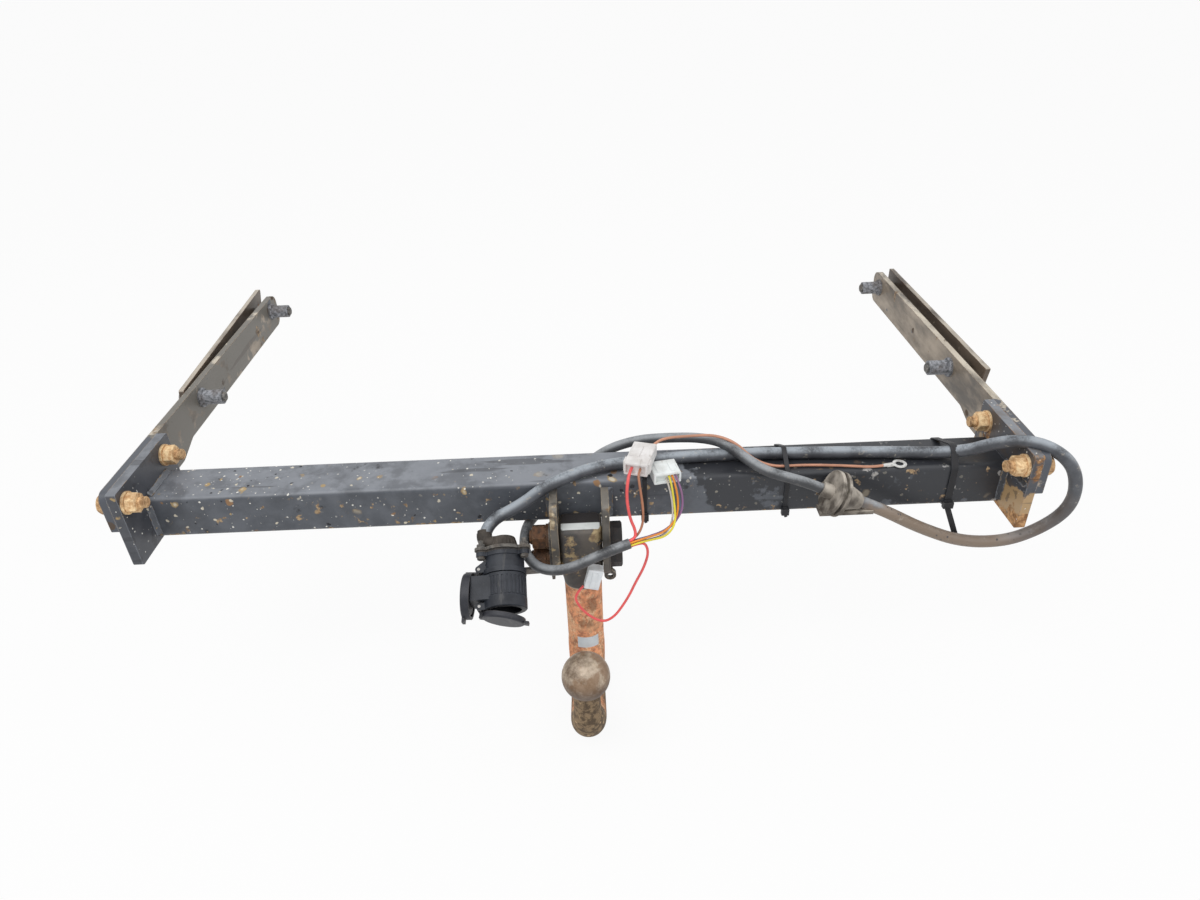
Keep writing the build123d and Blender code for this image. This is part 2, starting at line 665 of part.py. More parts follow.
def make_adapter():
    start = mouth_z + adapter_gap
    grip_end = start + grip_length
    end = grip_end + end_ring
    hinge_z = end - adapter_hinge_inset
    body = cylinder(grip_root_d / 2, start, grip_end) + cylinder(plug_d / 2, start - plug_depth - adapter_gap, start)
    ring_part = cylinder(end_ring_d / 2, grip_end - 3, end)
    body += chamfer(ring_part.edges().group_by(Axis.Z)[-1], 1)
    body += ring(grip_d / 2, grip_root_d / 2 - 1, start, start + 3)
    rib = Pos((grip_root_d + grip_d) / 4 - 0.5, 0, start + 3) * Box((grip_d - grip_root_d) / 2 + 1, grip_rib_width,
        grip_length - 7, align=(Align.CENTER, Align.CENTER, Align.MIN))
    for number in range(grip_ribs):
        turn = 360 * number / grip_ribs
        if not 120 < turn < 240:
            body += Rotation(0, 0, turn) * rib
    block = Pos(hinge_x, 0, start + block_start) * Box(2 * (-hinge_x - grip_root_d / 4), block_width,
        grip_length - block_start, align=(Align.CENTER, Align.CENTER, Align.MIN))
    rest_z = mouth_z + lid_gap - lid_rest_gap
    beyond = Pos(0, 0, rest_z) * Box(200, 200, 100, align=(Align.CENTER, Align.CENTER, Align.MIN))
    body += block - swing(beyond, socket_hinge_z, socket_lid_open)
    body -= Pos(hinge_x, 0, hinge_z + 2) * Box(knuckle_d + 2, knuckle_width + 2 * hinge_gap, knuckle_d + 8)
    body += lugs(hinge_z, -end_ring_d / 2 + 4)
    body -= cylinder(female_d / 2, end - female_depth, end + 1)
    add("adapter_body", socket_frame * body)

    floor = end - female_depth
    insert = cylinder(female_d / 2 - insert_gap, floor, floor + female_insert)
    for number in range(female_holes):
        turn = Rotation(0, 0, 360 * number / female_holes)
        insert -= turn * Pos(11, 0, 0) * cylinder(2.4, floor + 3, end)
    insert -= cylinder(2.4, floor + 3, end)
    add("adapter_insert", socket_frame * insert)

    tail = start - plug_depth - adapter_gap
    pins = []
    for spot in contact_spots():
        pin = cylinder(contact_d / 2, tail - pin_length, tail)
        pins.append(socket_frame * Pos(*spot, 0) * chamfer(pin.edges().group_by(Axis.Z)[0], 0.6))
    add("adapter_pins", *pins)
    add("adapter_lid_pin", socket_frame * hinge_pin(hinge_z))
    add("adapter_lid_spring", socket_frame * hinge_spring(hinge_z))
    shut = lid(adapter_lid_d, adapter_lid_depth, hinge_z, end + lid_gap)
    add("adapter_lid", socket_frame * swing(shut, hinge_z, adapter_lid_open))


def make_socket_lid():
    shut = lid(socket_lid_d, socket_lid_depth, socket_hinge_z, mouth_z + lid_gap)
    add("socket_lid", socket_frame * swing(shut, socket_hinge_z, socket_lid_open))
    add("socket_lid_pin", socket_frame * hinge_pin(socket_hinge_z))
    add("socket_lid_spring", socket_frame * hinge_spring(socket_hinge_z))


# cords: each route is a list of points, with arcs at its corners
def cord(name, points, diameter):
    spots = [Vector(*point) for point in points]
    radii = []
    for before, corner, after in zip(spots, spots[1:], spots[2:]):
        one, two = corner - before, after - corner
        turn = acos(max(-1.0, min(1.0, one.normalized().dot(two.normalized()))))
        radii.append(0.45 * min(one.length, two.length) / tan(turn / 2))
    route = FilletPolyline(*spots, radius=radii)
    start = Plane(origin=spots[0], z_dir=spots[1] - spots[0])
    tube = sweep(start * Circle(diameter / 2), route)
    section = 3.14159265 * diameter ** 2 / 4
    print(name, "radii", [round(r) for r in radii], "volume ratio", round(tube.volume / (section * route.length), 3))
    add(name, tube)


main_route = [at_tube(*p) for p in (
    (-100, -39.9, -43.8), (-100.7, -23.1, -32.9), (-60.1, -11.9, -17.4), (-37, -8.5, 0), (-12, -3, 9),
    (16, 14, 8), (52, 24, 6.8),
    (132, 31, 7.2), (216, 30, 6.8), (312, 24, 7.2), (408, 15, 6.9), (436, -4, 31), (459, -23, 46),
    (487, -35, 45), (517, -39, 22), (531, -33, -12), (532, -25, -48), (508, -20, -79), (465, -19, -93),
    (413, -21, -85), (362, -25, -60), (322, -27, -35), (292, -27, -20.5), (270, -27, -11))]
harness_route = [at_tube(*p) for p in (
    (256, -27, -5), (240, -24.5, 2), (222, -20, 6.5), (197, -9, 9), (178, 9, 14.5), (160, 34, 19.4),
    (137, 55, 15), (104, 66, 10), (65, 69, 7), (28, 69, -6), (2, 68, -30), (-21, 63, -58), (-42, 40, -61),
    (-57, 12, -57.5), (-61, -13, -58), (-60.5, -34, -70), (-42, -48, -86), (-10, -55, -85), (21, -52, -68),
    (51, -44, -50))]
sheath_end = Vector(*harness_route[-1])
sheath_way = (sheath_end - Vector(*harness_route[-2])).normalized()
strand_frame = Plane(origin=sheath_end, x_dir=(-sheath_way.Z, 0, sheath_way.X), z_dir=sheath_way)


def strand(number, reach=0.0):
    """A wire's place in the sheath's end face, or that far in front of it; number 0 is the middle."""
    if number == 0:
        return tuple(strand_frame.from_local_coords(Vector(0, 0, reach)))
    turn = radians(360 * number / strand_count)
    spot = Vector(strand_circle * cos(turn), strand_circle * sin(turn), reach)
    return tuple(strand_frame.from_local_coords(spot))


def leaves(number, points):
    """The start of a wire's route: straight out of the sheath, then through points from the tube."""
    return [strand(number), strand(number, 9)] + [at_tube(*p) for p in points]


def make_boot():
    rim = -bracket_thick - lid_gap
    rear = rim - boot_length
    cap = loft([socket_frame * Plane.XY.offset(rim) * Circle(boot_d / 2),
                socket_frame * Plane.XY.offset(rear) * Circle(boot_rear_d / 2)])
    cap = fillet(cap.edges().sort_by(Axis.Y)[-1], 2)
    ridge = loft([Plane.XY.offset(rim - 2) * Pos(boot_d / 2, 0) * Circle(boot_ridge),
                  Plane.XY.offset(rear + 3) * Pos(boot_rear_d / 2, 0) * Circle(boot_ridge)])
    for number in range(boot_ridges):
        cap += socket_frame * Rotation(0, 0, 360 * number / boot_ridges) * ridge
    bend_z = rim - elbow_d / 2
    corner = FilletPolyline((0, 0, bend_z), (elbow_x, 0, bend_z), (elbow_x, 0, -elbow_end), radius=elbow_d / 2 + 1)
    elbow = socket_frame * sweep(Plane(origin=(0, 0, bend_z), z_dir=(-1, 0, 0)) * Circle(elbow_d / 2), corner)
    elbow -= socket_frame * Pos(elbow_x, 0, 0) * ring(elbow_d, elbow_outlet_d / 2, -elbow_end - 1, -elbow_end + 3)
    boot = cap + elbow
    boot -= socket_frame * cylinder(rear_neck_d / 2 + cable_fit, -rear_neck - 0.3, 20)
    outlet = Plane(origin=main_route[0], z_dir=Vector(*main_route[1]) - Vector(*main_route[0]))
    boot -= outlet * cylinder(main_cable_d / 2 + cable_fit, 0, elbow_end)
    boot -= socket_frame * Pos(0, 0, rim) * Box(80, 80, 60, align=(Align.CENTER, Align.CENTER, Align.MIN))
    add("cable_boot", boot)


def make_grommet():
    came = (Vector(*main_route[-2]) - Vector(*main_route[-1])).normalized()
    left = (Vector(*harness_route[1]) - Vector(*harness_route[0])).normalized()
    frame = Plane(origin=main_route[-1], x_dir=(0, 1, 0), z_dir=came)
    back = -grommet_groove - 2 * grommet_lip
    body = cylinder(grommet_d / 2, back, 0)
    body -= ring(grommet_d, grommet_d / 2 - grommet_groove_depth, back + grommet_lip, -grommet_lip)
    cone = loft([Plane.XY * Circle(grommet_cone_d / 2),
                 Plane.XY.offset(grommet_cone) * Circle(grommet_cone_end_d / 2)])
    body += cone
    body = fillet(body.edges().filter_by(GeomType.CIRCLE).group_by(Axis.Z)[0], 1.2)
    body = frame * body
    sleeve = Plane(origin=harness_route[0], z_dir=left)
    body += sleeve * cylinder(harness_cable_d / 2 + 3, -6, grommet_seat)
    low = frame.from_local_coords(Vector(0, -grommet_d / 2, back / 2))
    body += Pos(low.X + grommet_foot_shift, low.Y, low.Z + 1) * Box(*grommet_foot)
    saddle = Plane(origin=main_route[-2], z_dir=Vector(*main_route[-3]) - Vector(*main_route[-2]))
    body -= saddle * cylinder(main_cable_d / 2 + grommet_saddle, -2, 60)
    body -= frame * cylinder(main_cable_d / 2 + 5 * cable_fit, 0, grommet_cone + 10)
    body -= sleeve * cylinder(harness_cable_d / 2 + cable_fit, 0, grommet_seat + 10)
    add("grommet", body)


# a connector's frame has y along its housing; wires come in at the low end
left_plug = Plane(origin=at_tube(66, 5, 22.6), x_dir=(cos(radians(18)), -sin(radians(18)), 0), z_dir=(0, 0, 1))
right_plug = Plane(origin=at_tube(91, 2, 7.2), x_dir=(cos(radians(10)), sin(radians(10)), 0), z_dir=(0, 0, 1))


def enters(plug, size, x, z, run):
    """The end of a wire's route: a straight run on to the floor of a connector's wire chamber."""
    floor = plug_chamber - size[1] / 2 - cable_fit
    return [tuple(plug.from_local_coords(Vector(x, floor - away, z))) for away in (run, 0)]


def make_connectors():
    width, length, height = left_connector
    shell = fillet(Box(width, length, height).edges().filter_by(Axis.Y), 1.2)
    chamber = 2 * plug_chamber
    shell -= Pos(0, -length / 2, 0) * Box(width - 2 * plug_wall, chamber, height - 2 * plug_wall)
    shell += Pos(-width * 0.18, length * 0.08, height / 2) * Box(width * 0.4, length * 0.5, 2)
    shell += Pos(0, -length * 0.3, 0) * Box(width + 3, length * 0.22, height - 2)
    shell -= Pos(0, -length / 2, 0) * Box(width - 2 * plug_wall, chamber, height - 2 * plug_wall)
    add("connector_left", left_plug * shell)
    width, length, height = right_connector
    shell = fillet(Box(width, length, height).edges().filter_by(Axis.Y), 1.2)
    shell -= Pos(0, -length / 2, 0) * Box(width - 2 * plug_wall, chamber, height - 2 * plug_wall)
    for x in (-0.25, 0.25):
        shell += Pos(x * width, 0, height / 2) * Box(width * 0.18, length * 0.7, 1.4)
    add("connector_right", right_plug * shell)
    width, depth, length = small_connector
    shell = fillet(Box(width, depth, length).edges().filter_by(Axis.Z), 1.2)
    shell -= Pos(0, 0, -length / 2) * Box(width - 2 * plug_wall, depth - 2 * plug_wall, chamber)
    shell += Pos(0, -depth / 2, 0) * Box(width * 0.35, 1.6, length * 0.8)
    lies = Pos(*at_tube(12, -45.5, -92)) * Rotation(0, 14, 0)
    add("connector_small", lies * shell)


def make_terminal(route):
    way = (Vector(*route[-1]) - Vector(*route[-2])).normalized()
    frame = Plane(origin=route[-1], x_dir=way, z_dir=(0, 0, 1))
    low = -wire_d / 2 - 0.5
    reach = terminal_barrel + terminal_od / 2 - 1
    sheet = Pos(reach, 0) * Circle(terminal_od / 2) + Pos(reach / 2, 0) * Rectangle(reach, wire_d + 2.4)
    sheet -= Pos(reach, 0) * Circle(terminal_hole / 2)
    sheet = extrude(Plane.XY.offset(low) * sheet, amount=terminal_sheet)
    barrel = Rotation(0, 90, 0) * cylinder(wire_d / 2 + 0.8, -4, terminal_barrel - 3)
    crimp = sheet + barrel - Rotation(0, 90, 0) * cylinder(wire_d / 2 + cable_fit, -5, 0)
    add("ring_terminal", frame * crimp)


def tie(name, x, width, cable, tail):
    """A strap round the tube and the cable on it, with its head at the tube's lower front edge."""
    around = Pos(tube_front + tube_depth / 2, tube_top - tube_height / 2) * RectangleRounded(
        tube_depth + 2 * tie_gap, tube_height + 2 * tie_gap, tube_corner + tie_gap)
    over = Pos(tube_front + cable[0], tube_top + cable[1]) * Circle(cable[2] + tie_gap)
    inner = make_hull([*around.edges(), *over.edges()])
    band = offset(inner, tie_thick) - inner
    strap = extrude(Plane.YZ.offset(x - width / 2) * band, amount=width)
    deep, tall = tie_head
    low = tube_top - tube_height + tube_corner
    head = Box(width + 3, deep, tall, align=(Align.CENTER, Align.MAX, Align.MAX))
    strap += Pos(x, tube_front - tie_gap, low + 1) * fillet(head.edges().filter_by(Axis.X), 1)
    end = Plane(origin=(x, tube_front - tie_gap - deep / 2, low - tall + 2), x_dir=(1, 0, 0.35),
                z_dir=(0.32, -0.25, -0.9))
    strap += extrude(end * Rectangle(width - 1.5, tie_thick - 0.2), amount=tail)
    add(name, strap)


def make_harness():
    cord("main_cable", main_route, main_cable_d)
    cord("harness_cable", harness_route, harness_cable_d)
    make_boot()
    make_grommet()
    make_connectors()
    bundle = (
        ("wire_orange", 1, ((72, -45, -41.5), (88, -42, -38.5), (100.5, -35.5, -27), (103, -29, -9)), 5, 1.8),
        ("wire_yellow", 2, ((73, -46.5, -44.5), (89, -44.5, -42.5), (99, -40, -30.5), (98.5, -33, -12)), 1.5, 1.8),
        ("wire_violet", 0, ((72, -42.3, -42.5), (89, -38, -39.5), (105.5, -32, -25.5), (108, -27, -6)), 8.5, 1.8),
        ("wire_blue", 5, ((72, -39.5, -45), (88, -36.5, -42.5), (103, -31.5, -31), (105, -25.5, -13)), 6.5, -1.8),
        ("wire_white", 4, ((73, -41, -48), (88, -36, -47), (96, -31, -38), (98, -26, -18)), -1, -1.8))
    for name, number, points, x, z in bundle:
        cord(name, leaves(number, points) + enters(right_plug, right_connector, x, z, 10), wire_d)
    cord("wire_red_feed", leaves(7, ((60, -38, -31), (54.5, -32.5, -14), (52, -30.5, 0), (51.5, -29, 12)))
         + enters(left_plug, left_connector, -4.5, 0, 12), feed_wire_d)
    cord("wire_brown", leaves(6, ((66, -34, -33), (66, -30.5, -14), (64, -29.5, 3), (62.5, -28, 14)))
         + enters(left_plug, left_connector, 4.5, 0, 9), wire_d)
    cord("wire_red_link", leaves(3, (
        (70, -43.5, -51.5), (70.5, -47, -64.5), (66, -50, -79), (61, -50, -97), (54, -50, -113), (45, -50, -129),
        (35, -50, -145), (21, -50, -155), (5, -50, -144), (-6, -50, -126), (-9, -49.5, -112),
        (0.5, -47, -103))), wire_d)
    behind = left_connector[1] / 2 + cable_fit
    earth_route = [tuple(left_plug.from_local_coords(Vector(7, behind + away, 1.4))) for away in (0, 8)]
    earth_route += [at_tube(*p) for p in (
        (94, 37.5, 27), (120, 43, 25), (148, 38, 28.5), (170, 27, 24), (186, 15, 10), (208, 9.5, 2.6),
        (238, 12, 1.8), (266, 9, 2.2), (292, 5.5, 2.1), (312, 1.5, 2.4), (327, 4.5, 2.4))]
    cord("wire_earth", earth_route, wire_d)
    make_terminal(earth_route)
    cable = main_cable_d / 2
    tie("tie_left", tie_left_x, tie_width, (25.6, 7.1, cable + tie_slack), tie_stub)
    tie("tie_middle", tie_middle_x, tie_width, (29.6, 6.9, cable + tie_slack), tie_stub)
    tie("tie_right", tube_length / 2 - tie_right_in, tie_wide, (15.8, 8.2, cable + 5 * tie_slack), tie_tail)


def main():
    make_crossbar()
    make_arms()
    make_fasteners()
    make_cheeks()
    make_neck()
    make_neck_fasteners()
    make_bracket()
    make_socket()
    make_adapter()
    make_socket_lid()
    make_harness()
    os.makedirs("parts", exist_ok=True)
    for name, node in nodes.items():
        export_step(node, "parts/" + name + ".step")
    print(len(nodes), "nodes")


main()
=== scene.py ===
import json
from functools import reduce
from math import cos, pi, radians, sin

import bpy
from mathutils import Matrix, Vector


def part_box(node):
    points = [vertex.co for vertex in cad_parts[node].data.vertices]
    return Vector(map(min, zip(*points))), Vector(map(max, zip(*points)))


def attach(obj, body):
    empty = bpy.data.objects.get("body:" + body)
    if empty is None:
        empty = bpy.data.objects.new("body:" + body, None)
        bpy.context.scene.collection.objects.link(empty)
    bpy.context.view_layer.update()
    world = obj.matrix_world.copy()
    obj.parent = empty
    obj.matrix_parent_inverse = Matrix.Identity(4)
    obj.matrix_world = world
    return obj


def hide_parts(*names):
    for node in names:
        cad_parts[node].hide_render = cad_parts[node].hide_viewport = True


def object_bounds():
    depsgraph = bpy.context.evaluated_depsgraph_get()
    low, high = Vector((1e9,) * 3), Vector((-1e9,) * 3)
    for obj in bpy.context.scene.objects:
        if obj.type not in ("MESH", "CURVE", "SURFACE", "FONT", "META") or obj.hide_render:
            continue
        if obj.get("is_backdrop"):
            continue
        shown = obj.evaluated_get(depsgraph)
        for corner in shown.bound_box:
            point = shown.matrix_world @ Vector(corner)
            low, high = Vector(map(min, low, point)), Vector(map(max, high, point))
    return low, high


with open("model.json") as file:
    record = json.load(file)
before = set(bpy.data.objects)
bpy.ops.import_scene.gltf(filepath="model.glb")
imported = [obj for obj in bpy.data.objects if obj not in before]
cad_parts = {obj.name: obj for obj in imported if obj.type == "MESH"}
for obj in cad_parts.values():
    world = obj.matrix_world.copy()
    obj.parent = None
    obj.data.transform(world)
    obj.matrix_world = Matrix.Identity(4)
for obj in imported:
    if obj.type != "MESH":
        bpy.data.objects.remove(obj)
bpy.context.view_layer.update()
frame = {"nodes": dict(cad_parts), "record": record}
nodes = frame["nodes"]
tubeLow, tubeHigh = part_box("cross_tube")
mm = 0.001


def atTube(x, behind, above):  # millimetres from the middle of the tube's top front edge
    return Vector((x * mm, tubeLow.y + behind * mm, tubeHigh.z + above * mm))


def depthAt(behind):
    return atTube(0, behind, 0).y


def levelAt(above):
    return atTube(0, 0, above).z


def tone(red, green, blue):  # a colour as seen on a screen, 0 to 255, for a shader
    parts = [level / 255 for level in (red, green, blue)]
    return tuple(part / 12.92 if part < 0.04 else ((part + 0.055) / 1.055) ** 2.4 for part in parts) + (1.0,)


# camera as in the photograph: degrees down, to the right and rolled
cameraView = {"place": (0.0178, -1.0443, 0.4682), "down": 32.1, "turn": 0.5, "roll": -2.1, "lens": 24.54,
              "sensor": 36, "near": 0.01}


def makeCamera(view):
    down, turn, roll = (radians(view[key]) for key in ("down", "turn", "roll"))
    ahead = Vector((sin(turn) * cos(down), cos(turn) * cos(down), -sin(down)))
    right = Vector((cos(turn), -sin(turn), 0))
    up = right.cross(ahead)
    tiltedRight = right * cos(roll) + up * sin(roll)
    tiltedUp = up * cos(roll) - right * sin(roll)
    data = bpy.data.cameras.new("photoCamera")
    data.lens = view["lens"]
    data.sensor_width = view["sensor"]
    data.clip_start = view["near"]
    camera = bpy.data.objects.new("photoCamera", data)
    turned = Matrix((tiltedRight, tiltedUp, -ahead)).transposed().to_4x4()
    camera.matrix_world = Matrix.Translation(view["place"]) @ turned
    bpy.context.scene.collection.objects.link(camera)
    bpy.context.scene.camera = camera


makeCamera(cameraView)
print("stage: camera")


# shader sums: a Wire is an output socket, and sums of wires add Math nodes
class Wire:
    def __init__(self, finish, socket):
        self.finish, self.socket = finish, socket

    def also(self, out):  # another output of the same node
        return Wire(self.finish, self.socket.node.outputs[out])

    def sum(self, operation, *values):
        return self.finish.node("ShaderNodeMath", {"operation": operation}, dict(enumerate(values)))

    def __add__(self, other):
        return self.sum("ADD", self, other)

    def __sub__(self, other):
        return self.sum("SUBTRACT", self, other)

    def __mul__(self, other):
        return self.sum("MULTIPLY", self, other)

    def __rsub__(self, other):
        return self.sum("SUBTRACT", other, self)

    def __abs__(self):
        return self.sum("ABSOLUTE", self)

    __radd__ = __add__
    __rmul__ = __mul__

    def most(self, other):
        return self.sum("MAXIMUM", self, other)

    def wave(self):
        return self.sum("SINE", self)


class Finish:
    def __init__(self, name):
        self.material = bpy.data.materials.new(name)
        self.material.use_nodes = True
        self.tree = self.material.node_tree
        self.shader = self.tree.nodes["Principled BSDF"]
        self.place = self.node("ShaderNodeTexCoord", out="Object")

    def node(self, kind, settings=None, inputs=None, out=0):
        made = self.tree.nodes.new(kind)
        for key, value in (settings or {}).items():
            setattr(made, key, value)
        for key, value in (inputs or {}).items():
            self.join(value, made.inputs[key])
        return Wire(self, made.outputs[out])

    def join(self, value, socket):
        if isinstance(value, Wire):
            self.tree.links.new(value.socket, socket)
        else:
            socket.default_value = value

    def wear(self, name, value):  # what changes over the surface
        self.join(value, self.shader.inputs[name])

    def mix(self, share, one, other):
        return self.node("ShaderNodeMix", {"data_type": "RGBA", "clamp_factor": True},
                         {0: share, 6: one, 7: other}, out=2)

    def noise(self, scale, detail, rough=0.55, stretch=(1, 1, 1), shift=(0, 0, 0)):
        place = self.node("ShaderNodeMapping", None,
                          {"Vector": self.place, "Scale": stretch, "Location": shift})
        return self.node("ShaderNodeTexNoise", None,
                         {"Vector": place, "Scale": scale, "Detail": detail, "Roughness": rough})

    def between(self, value, low, high):  # 0 at low, 1 at high, which may be the lower of the two
        return self.node("ShaderNodeMapRange", {"interpolation_type": "SMOOTHSTEP"},
                         {"Value": value, "From Min": low, "From Max": high})

    def along(self, axis):  # metres along X, Y or Z of the part
        return self.node("ShaderNodeSeparateXYZ", None, {0: self.place}, out=axis)

    def facing(self, axis):
        return self.node("ShaderNodeSeparateXYZ", None, {0: self.place.also("Normal")}, out=axis)

    def edges(self, radius):  # 1 on outer and inner edges, 0 on flats
        soft = self.node("ShaderNodeBevel", {"samples": 4}, {"Radius": radius})
        hard = self.node("ShaderNodeNewGeometry", out="Normal")
        same = self.node("ShaderNodeVectorMath", {"operation": "DOT_PRODUCT"}, {0: soft, 1: hard},
                         out="Value")
        return self.between(same, 0.985, 0.8)

    def chips(self, scale, share, size):  # ragged spots: cells per metre, share of cells, size in cells
        push = self.node("ShaderNodeTexNoise", None,
                         {"Vector": self.place, "Scale": scale * 2.2, "Detail": 4.0}, out="Color")
        place = self.node("ShaderNodeVectorMath", {"operation": "MULTIPLY_ADD"},
                          {0: push, 1: (0.45 / scale,) * 3, 2: self.place})
        away = self.node("ShaderNodeTexVoronoi", None, {"Vector": place, "Scale": scale})
        chance = self.node("ShaderNodeSeparateXYZ", None, {0: away.also("Color")})
        reach = chance.also("Y") * (size * 0.7) + size * 0.3
        return self.between(away - reach, 0.04, -0.02) * self.between(chance, share, share - 0.01)

    def zone(self, axis, start, full, level, scale):  # ragged band, fuller the lower its level
        band = self.between(self.along(axis), start, full)
        return self.between(self.noise(scale, 8, 0.62) + band * 0.3, level, level + 0.05)

    def relief(self, height, depth, radius=0.0):
        inputs = {"Height": height, "Distance": depth, "Strength": 1.0}
        if radius:
            inputs["Normal"] = self.node("ShaderNodeBevel", {"samples": 4}, {"Radius": radius})
        self.join(self.node("ShaderNodeBump", None, inputs), self.shader.inputs["Normal"])


# painted steel: dusty and stained paint, painted top light and painted edge highlights, rust, scratches and
# chipped spots
def wornPaint(name, look):
    finish = Finish(name)
    mottle, fine = finish.noise(38, 6, stretch=look["grain"]), finish.noise(420, 4)
    clouds = finish.between(finish.noise(26, 7, 0.62), 0.3, 0.62)
    paint = finish.mix(finish.between(mottle, 0.34, 0.66), look["paint"], look["paintAlso"])
    # lighter on upward faces: dust, and painted top light where light falls from above
    upward = finish.between(finish.facing("Z"), 0.35, 0.95)
    paint = finish.mix(upward * look["topDustAndLight"] * (clouds * 0.35 + 0.65), paint, look["dust"])
    stain = finish.noise(look["stainScale"], 7, 0.64, stretch=look["grain"], shift=(3, 5, 7))
    paint = finish.mix(finish.between(stain, 0.46, 0.64) * look["stains"], paint, look["stainColour"])
    for coatColour, *zone in look["coats"]:
        paint = finish.mix(finish.zone(*zone), paint, coatColour)
    # painted highlight along the edges
    edge = finish.edges(1.6 * mm)
    paint = finish.mix(edge * look["edgeHighlight"], paint, look["edgeColour"])
    # rust in patches, on broken edges and in zones
    patches = finish.noise(look["patchScale"], 8, 0.62)
    rusty = finish.between(patches, look["rustFrom"], look["rustFrom"] + 0.05)
    broken = edge * 0.5 + finish.noise(52, 7, 0.65)
    rusty = rusty.most(finish.between(broken, look["edgeBreak"], look["edgeBreak"] + 0.08))
    for zone in look["zones"]:
        rusty = rusty.most(finish.zone(*zone))
    flecks = finish.between(finish.noise(170, 6, 0.7), 0.38, 0.66)
    rust = finish.mix(flecks, look["rustDark"], look["rustLight"])
    colour = finish.mix(rusty, paint, rust)
    scratch = finish.between(finish.noise(80, 3, 0.5, stretch=look["scratchWay"]), 0.645, 0.67)
    colour = finish.mix(scratch * look["scratches"], colour, look["scratchColour"])
    # spots in clusters, thinner past their end
    clusters = finish.between(finish.noise(9, 3, 0.6, shift=(4, 1, 2)), 0.4, 0.52)
    thinned = finish.between(finish.along("X"), look["spotsEnd"], look["spotsEnd"] + 0.1)
    clusters = clusters * (1 - thinned * 0.8)
    spots = []
    for scale, share, size, spotColour in look["spots"]:
        spots.append(finish.chips(scale, share, size) * clusters)
        colour = finish.mix(spots[-1], colour, spotColour)
    bare = reduce(Wire.most, spots)
    finish.wear("Base Color", colour)
    finish.wear("Roughness", 0.36 + rusty.most(bare) * 0.45 + mottle * 0.18)
    height = rusty * -0.3 + bare * -0.35 + fine * (rusty * 0.8 + 0.12) + mottle * 0.3
    finish.relief(height, 0.6 * mm, 0.8 * mm)
    return finish.material


cream, paleCream, ochre = tone(206, 198, 180), tone(232, 230, 222), tone(172, 148, 108)
rustBrown, soot = tone(146, 114, 84), tone(40, 41, 45)
tanPaint, oldPaint = tone(178, 148, 108), tone(76, 80, 88)
# zones: axis, start, full, level and scale, with a colour before them in coats
# spots: cells per metre, share of cells, size in cells and colour
barPaint = {
    "paint": tone(76, 80, 87), "paintAlso": tone(92, 96, 103), "grain": (1, 1, 1),
    # the upward faces' colour is dust with painted top light, and the edges carry a painted highlight
    "topDustAndLight": 0.8, "dust": tone(140, 144, 151),
    "stains": 0.5, "stainScale": 30, "stainColour": tone(62, 65, 71),
    "coats": ((tone(45, 47, 52), "X", 0.06, 0.2, 0.64, 22), (tone(172, 170, 168), "X", 0.16, 0.3, 0.93, 44)),
    "edgeHighlight": 0.55, "edgeColour": tone(158, 163, 172), "edgeBreak": 1.1,
    "patchScale": 22, "rustFrom": 0.74, "rustDark": tone(122, 100, 78), "rustLight": tone(190, 164, 128),
    "zones": (("Z", levelAt(-38), levelAt(-49), 0.84, 80), ("Y", depthAt(9), depthAt(1), 0.915, 70)),
    "scratches": 0.5, "scratchWay": (0.07, 1, 1), "scratchColour": soot,
    "spots": ((46, 0.3, 0.21, rustBrown), (30, 0.75, 0.24, ochre), (30, 0.75, 0.16, cream),
              (70, 0.3, 0.22, ochre), (95, 0.4, 0.19, cream), (150, 0.3, 0.21, paleCream),
              (260, 0.24, 0.2, paleCream), (85, 0.2, 0.24, soot)),
    "spotsEnd": 0.08}
platePaint = dict(
    barPaint, paint=tone(60, 63, 70), paintAlso=tone(78, 80, 86), coats=(), zones=(),
    edgeHighlight=0.7, edgeColour=tone(150, 156, 166), edgeBreak=1.02, rustFrom=0.66,
    spots=((30, 0.5, 0.18, ochre), (80, 0.4, 0.16, cream), (200, 0.3, 0.2, paleCream)), spotsEnd=1)
rustyPlate = dict(
    platePaint, stainColour=tone(96, 80, 62), coats=((tanPaint, "Z", levelAt(10), levelAt(-30), 0.68, 26),),
    edgeBreak=0.94, rustFrom=0.57, rustDark=tone(134, 96, 62), rustLight=tone(206, 160, 112),
    zones=(("Z", levelAt(-15), levelAt(-48), 0.74, 34), ("Z", levelAt(-44), levelAt(-52), 0.72, 60)))
seamPaint = dict(barPaint, edgeBreak=0.98, rustFrom=0.62, zones=(),
                 spots=((60, 0.7, 0.22, ochre), (130, 0.6, 0.2, cream)))
armCoat = dict(
    barPaint, paint=tone(168, 154, 137), paintAlso=tone(116, 105, 92), grain=(1, 0.35, 1),
    dust=tone(216, 206, 188), stains=0.95, stainScale=22, stainColour=tone(84, 78, 71),
    coats=((tone(112, 108, 101), "X", -0.2, -0.4, 0.68, 24),
           (oldPaint, "Y", depthAt(90), depthAt(50), 0.64, 34)),
    edgeHighlight=0.5, edgeColour=tone(206, 196, 180), edgeBreak=0.9,
    rustFrom=0.63, rustDark=tone(96, 76, 60), rustLight=tone(190, 168, 140), zones=(),
    scratchWay=(1, 0.06, 1), scratchColour=tone(78, 68, 60),
    spots=((36, 0.5, 0.2, tone(88, 74, 62)), (70, 0.4, 0.16, cream)), spotsEnd=1)
outerCoat = dict(
    armCoat, paint=tone(104, 91, 78), paintAlso=tone(80, 68, 57), topDustAndLight=0.7, dust=tone(214, 204, 188),
    stainColour=tone(60, 49, 40), coats=(), edgeBreak=0.94,
    rustDark=tone(92, 64, 46), rustLight=tone(158, 120, 88),
    spots=((30, 0.6, 0.22, tone(140, 112, 84)), (60, 0.4, 0.18, cream)))
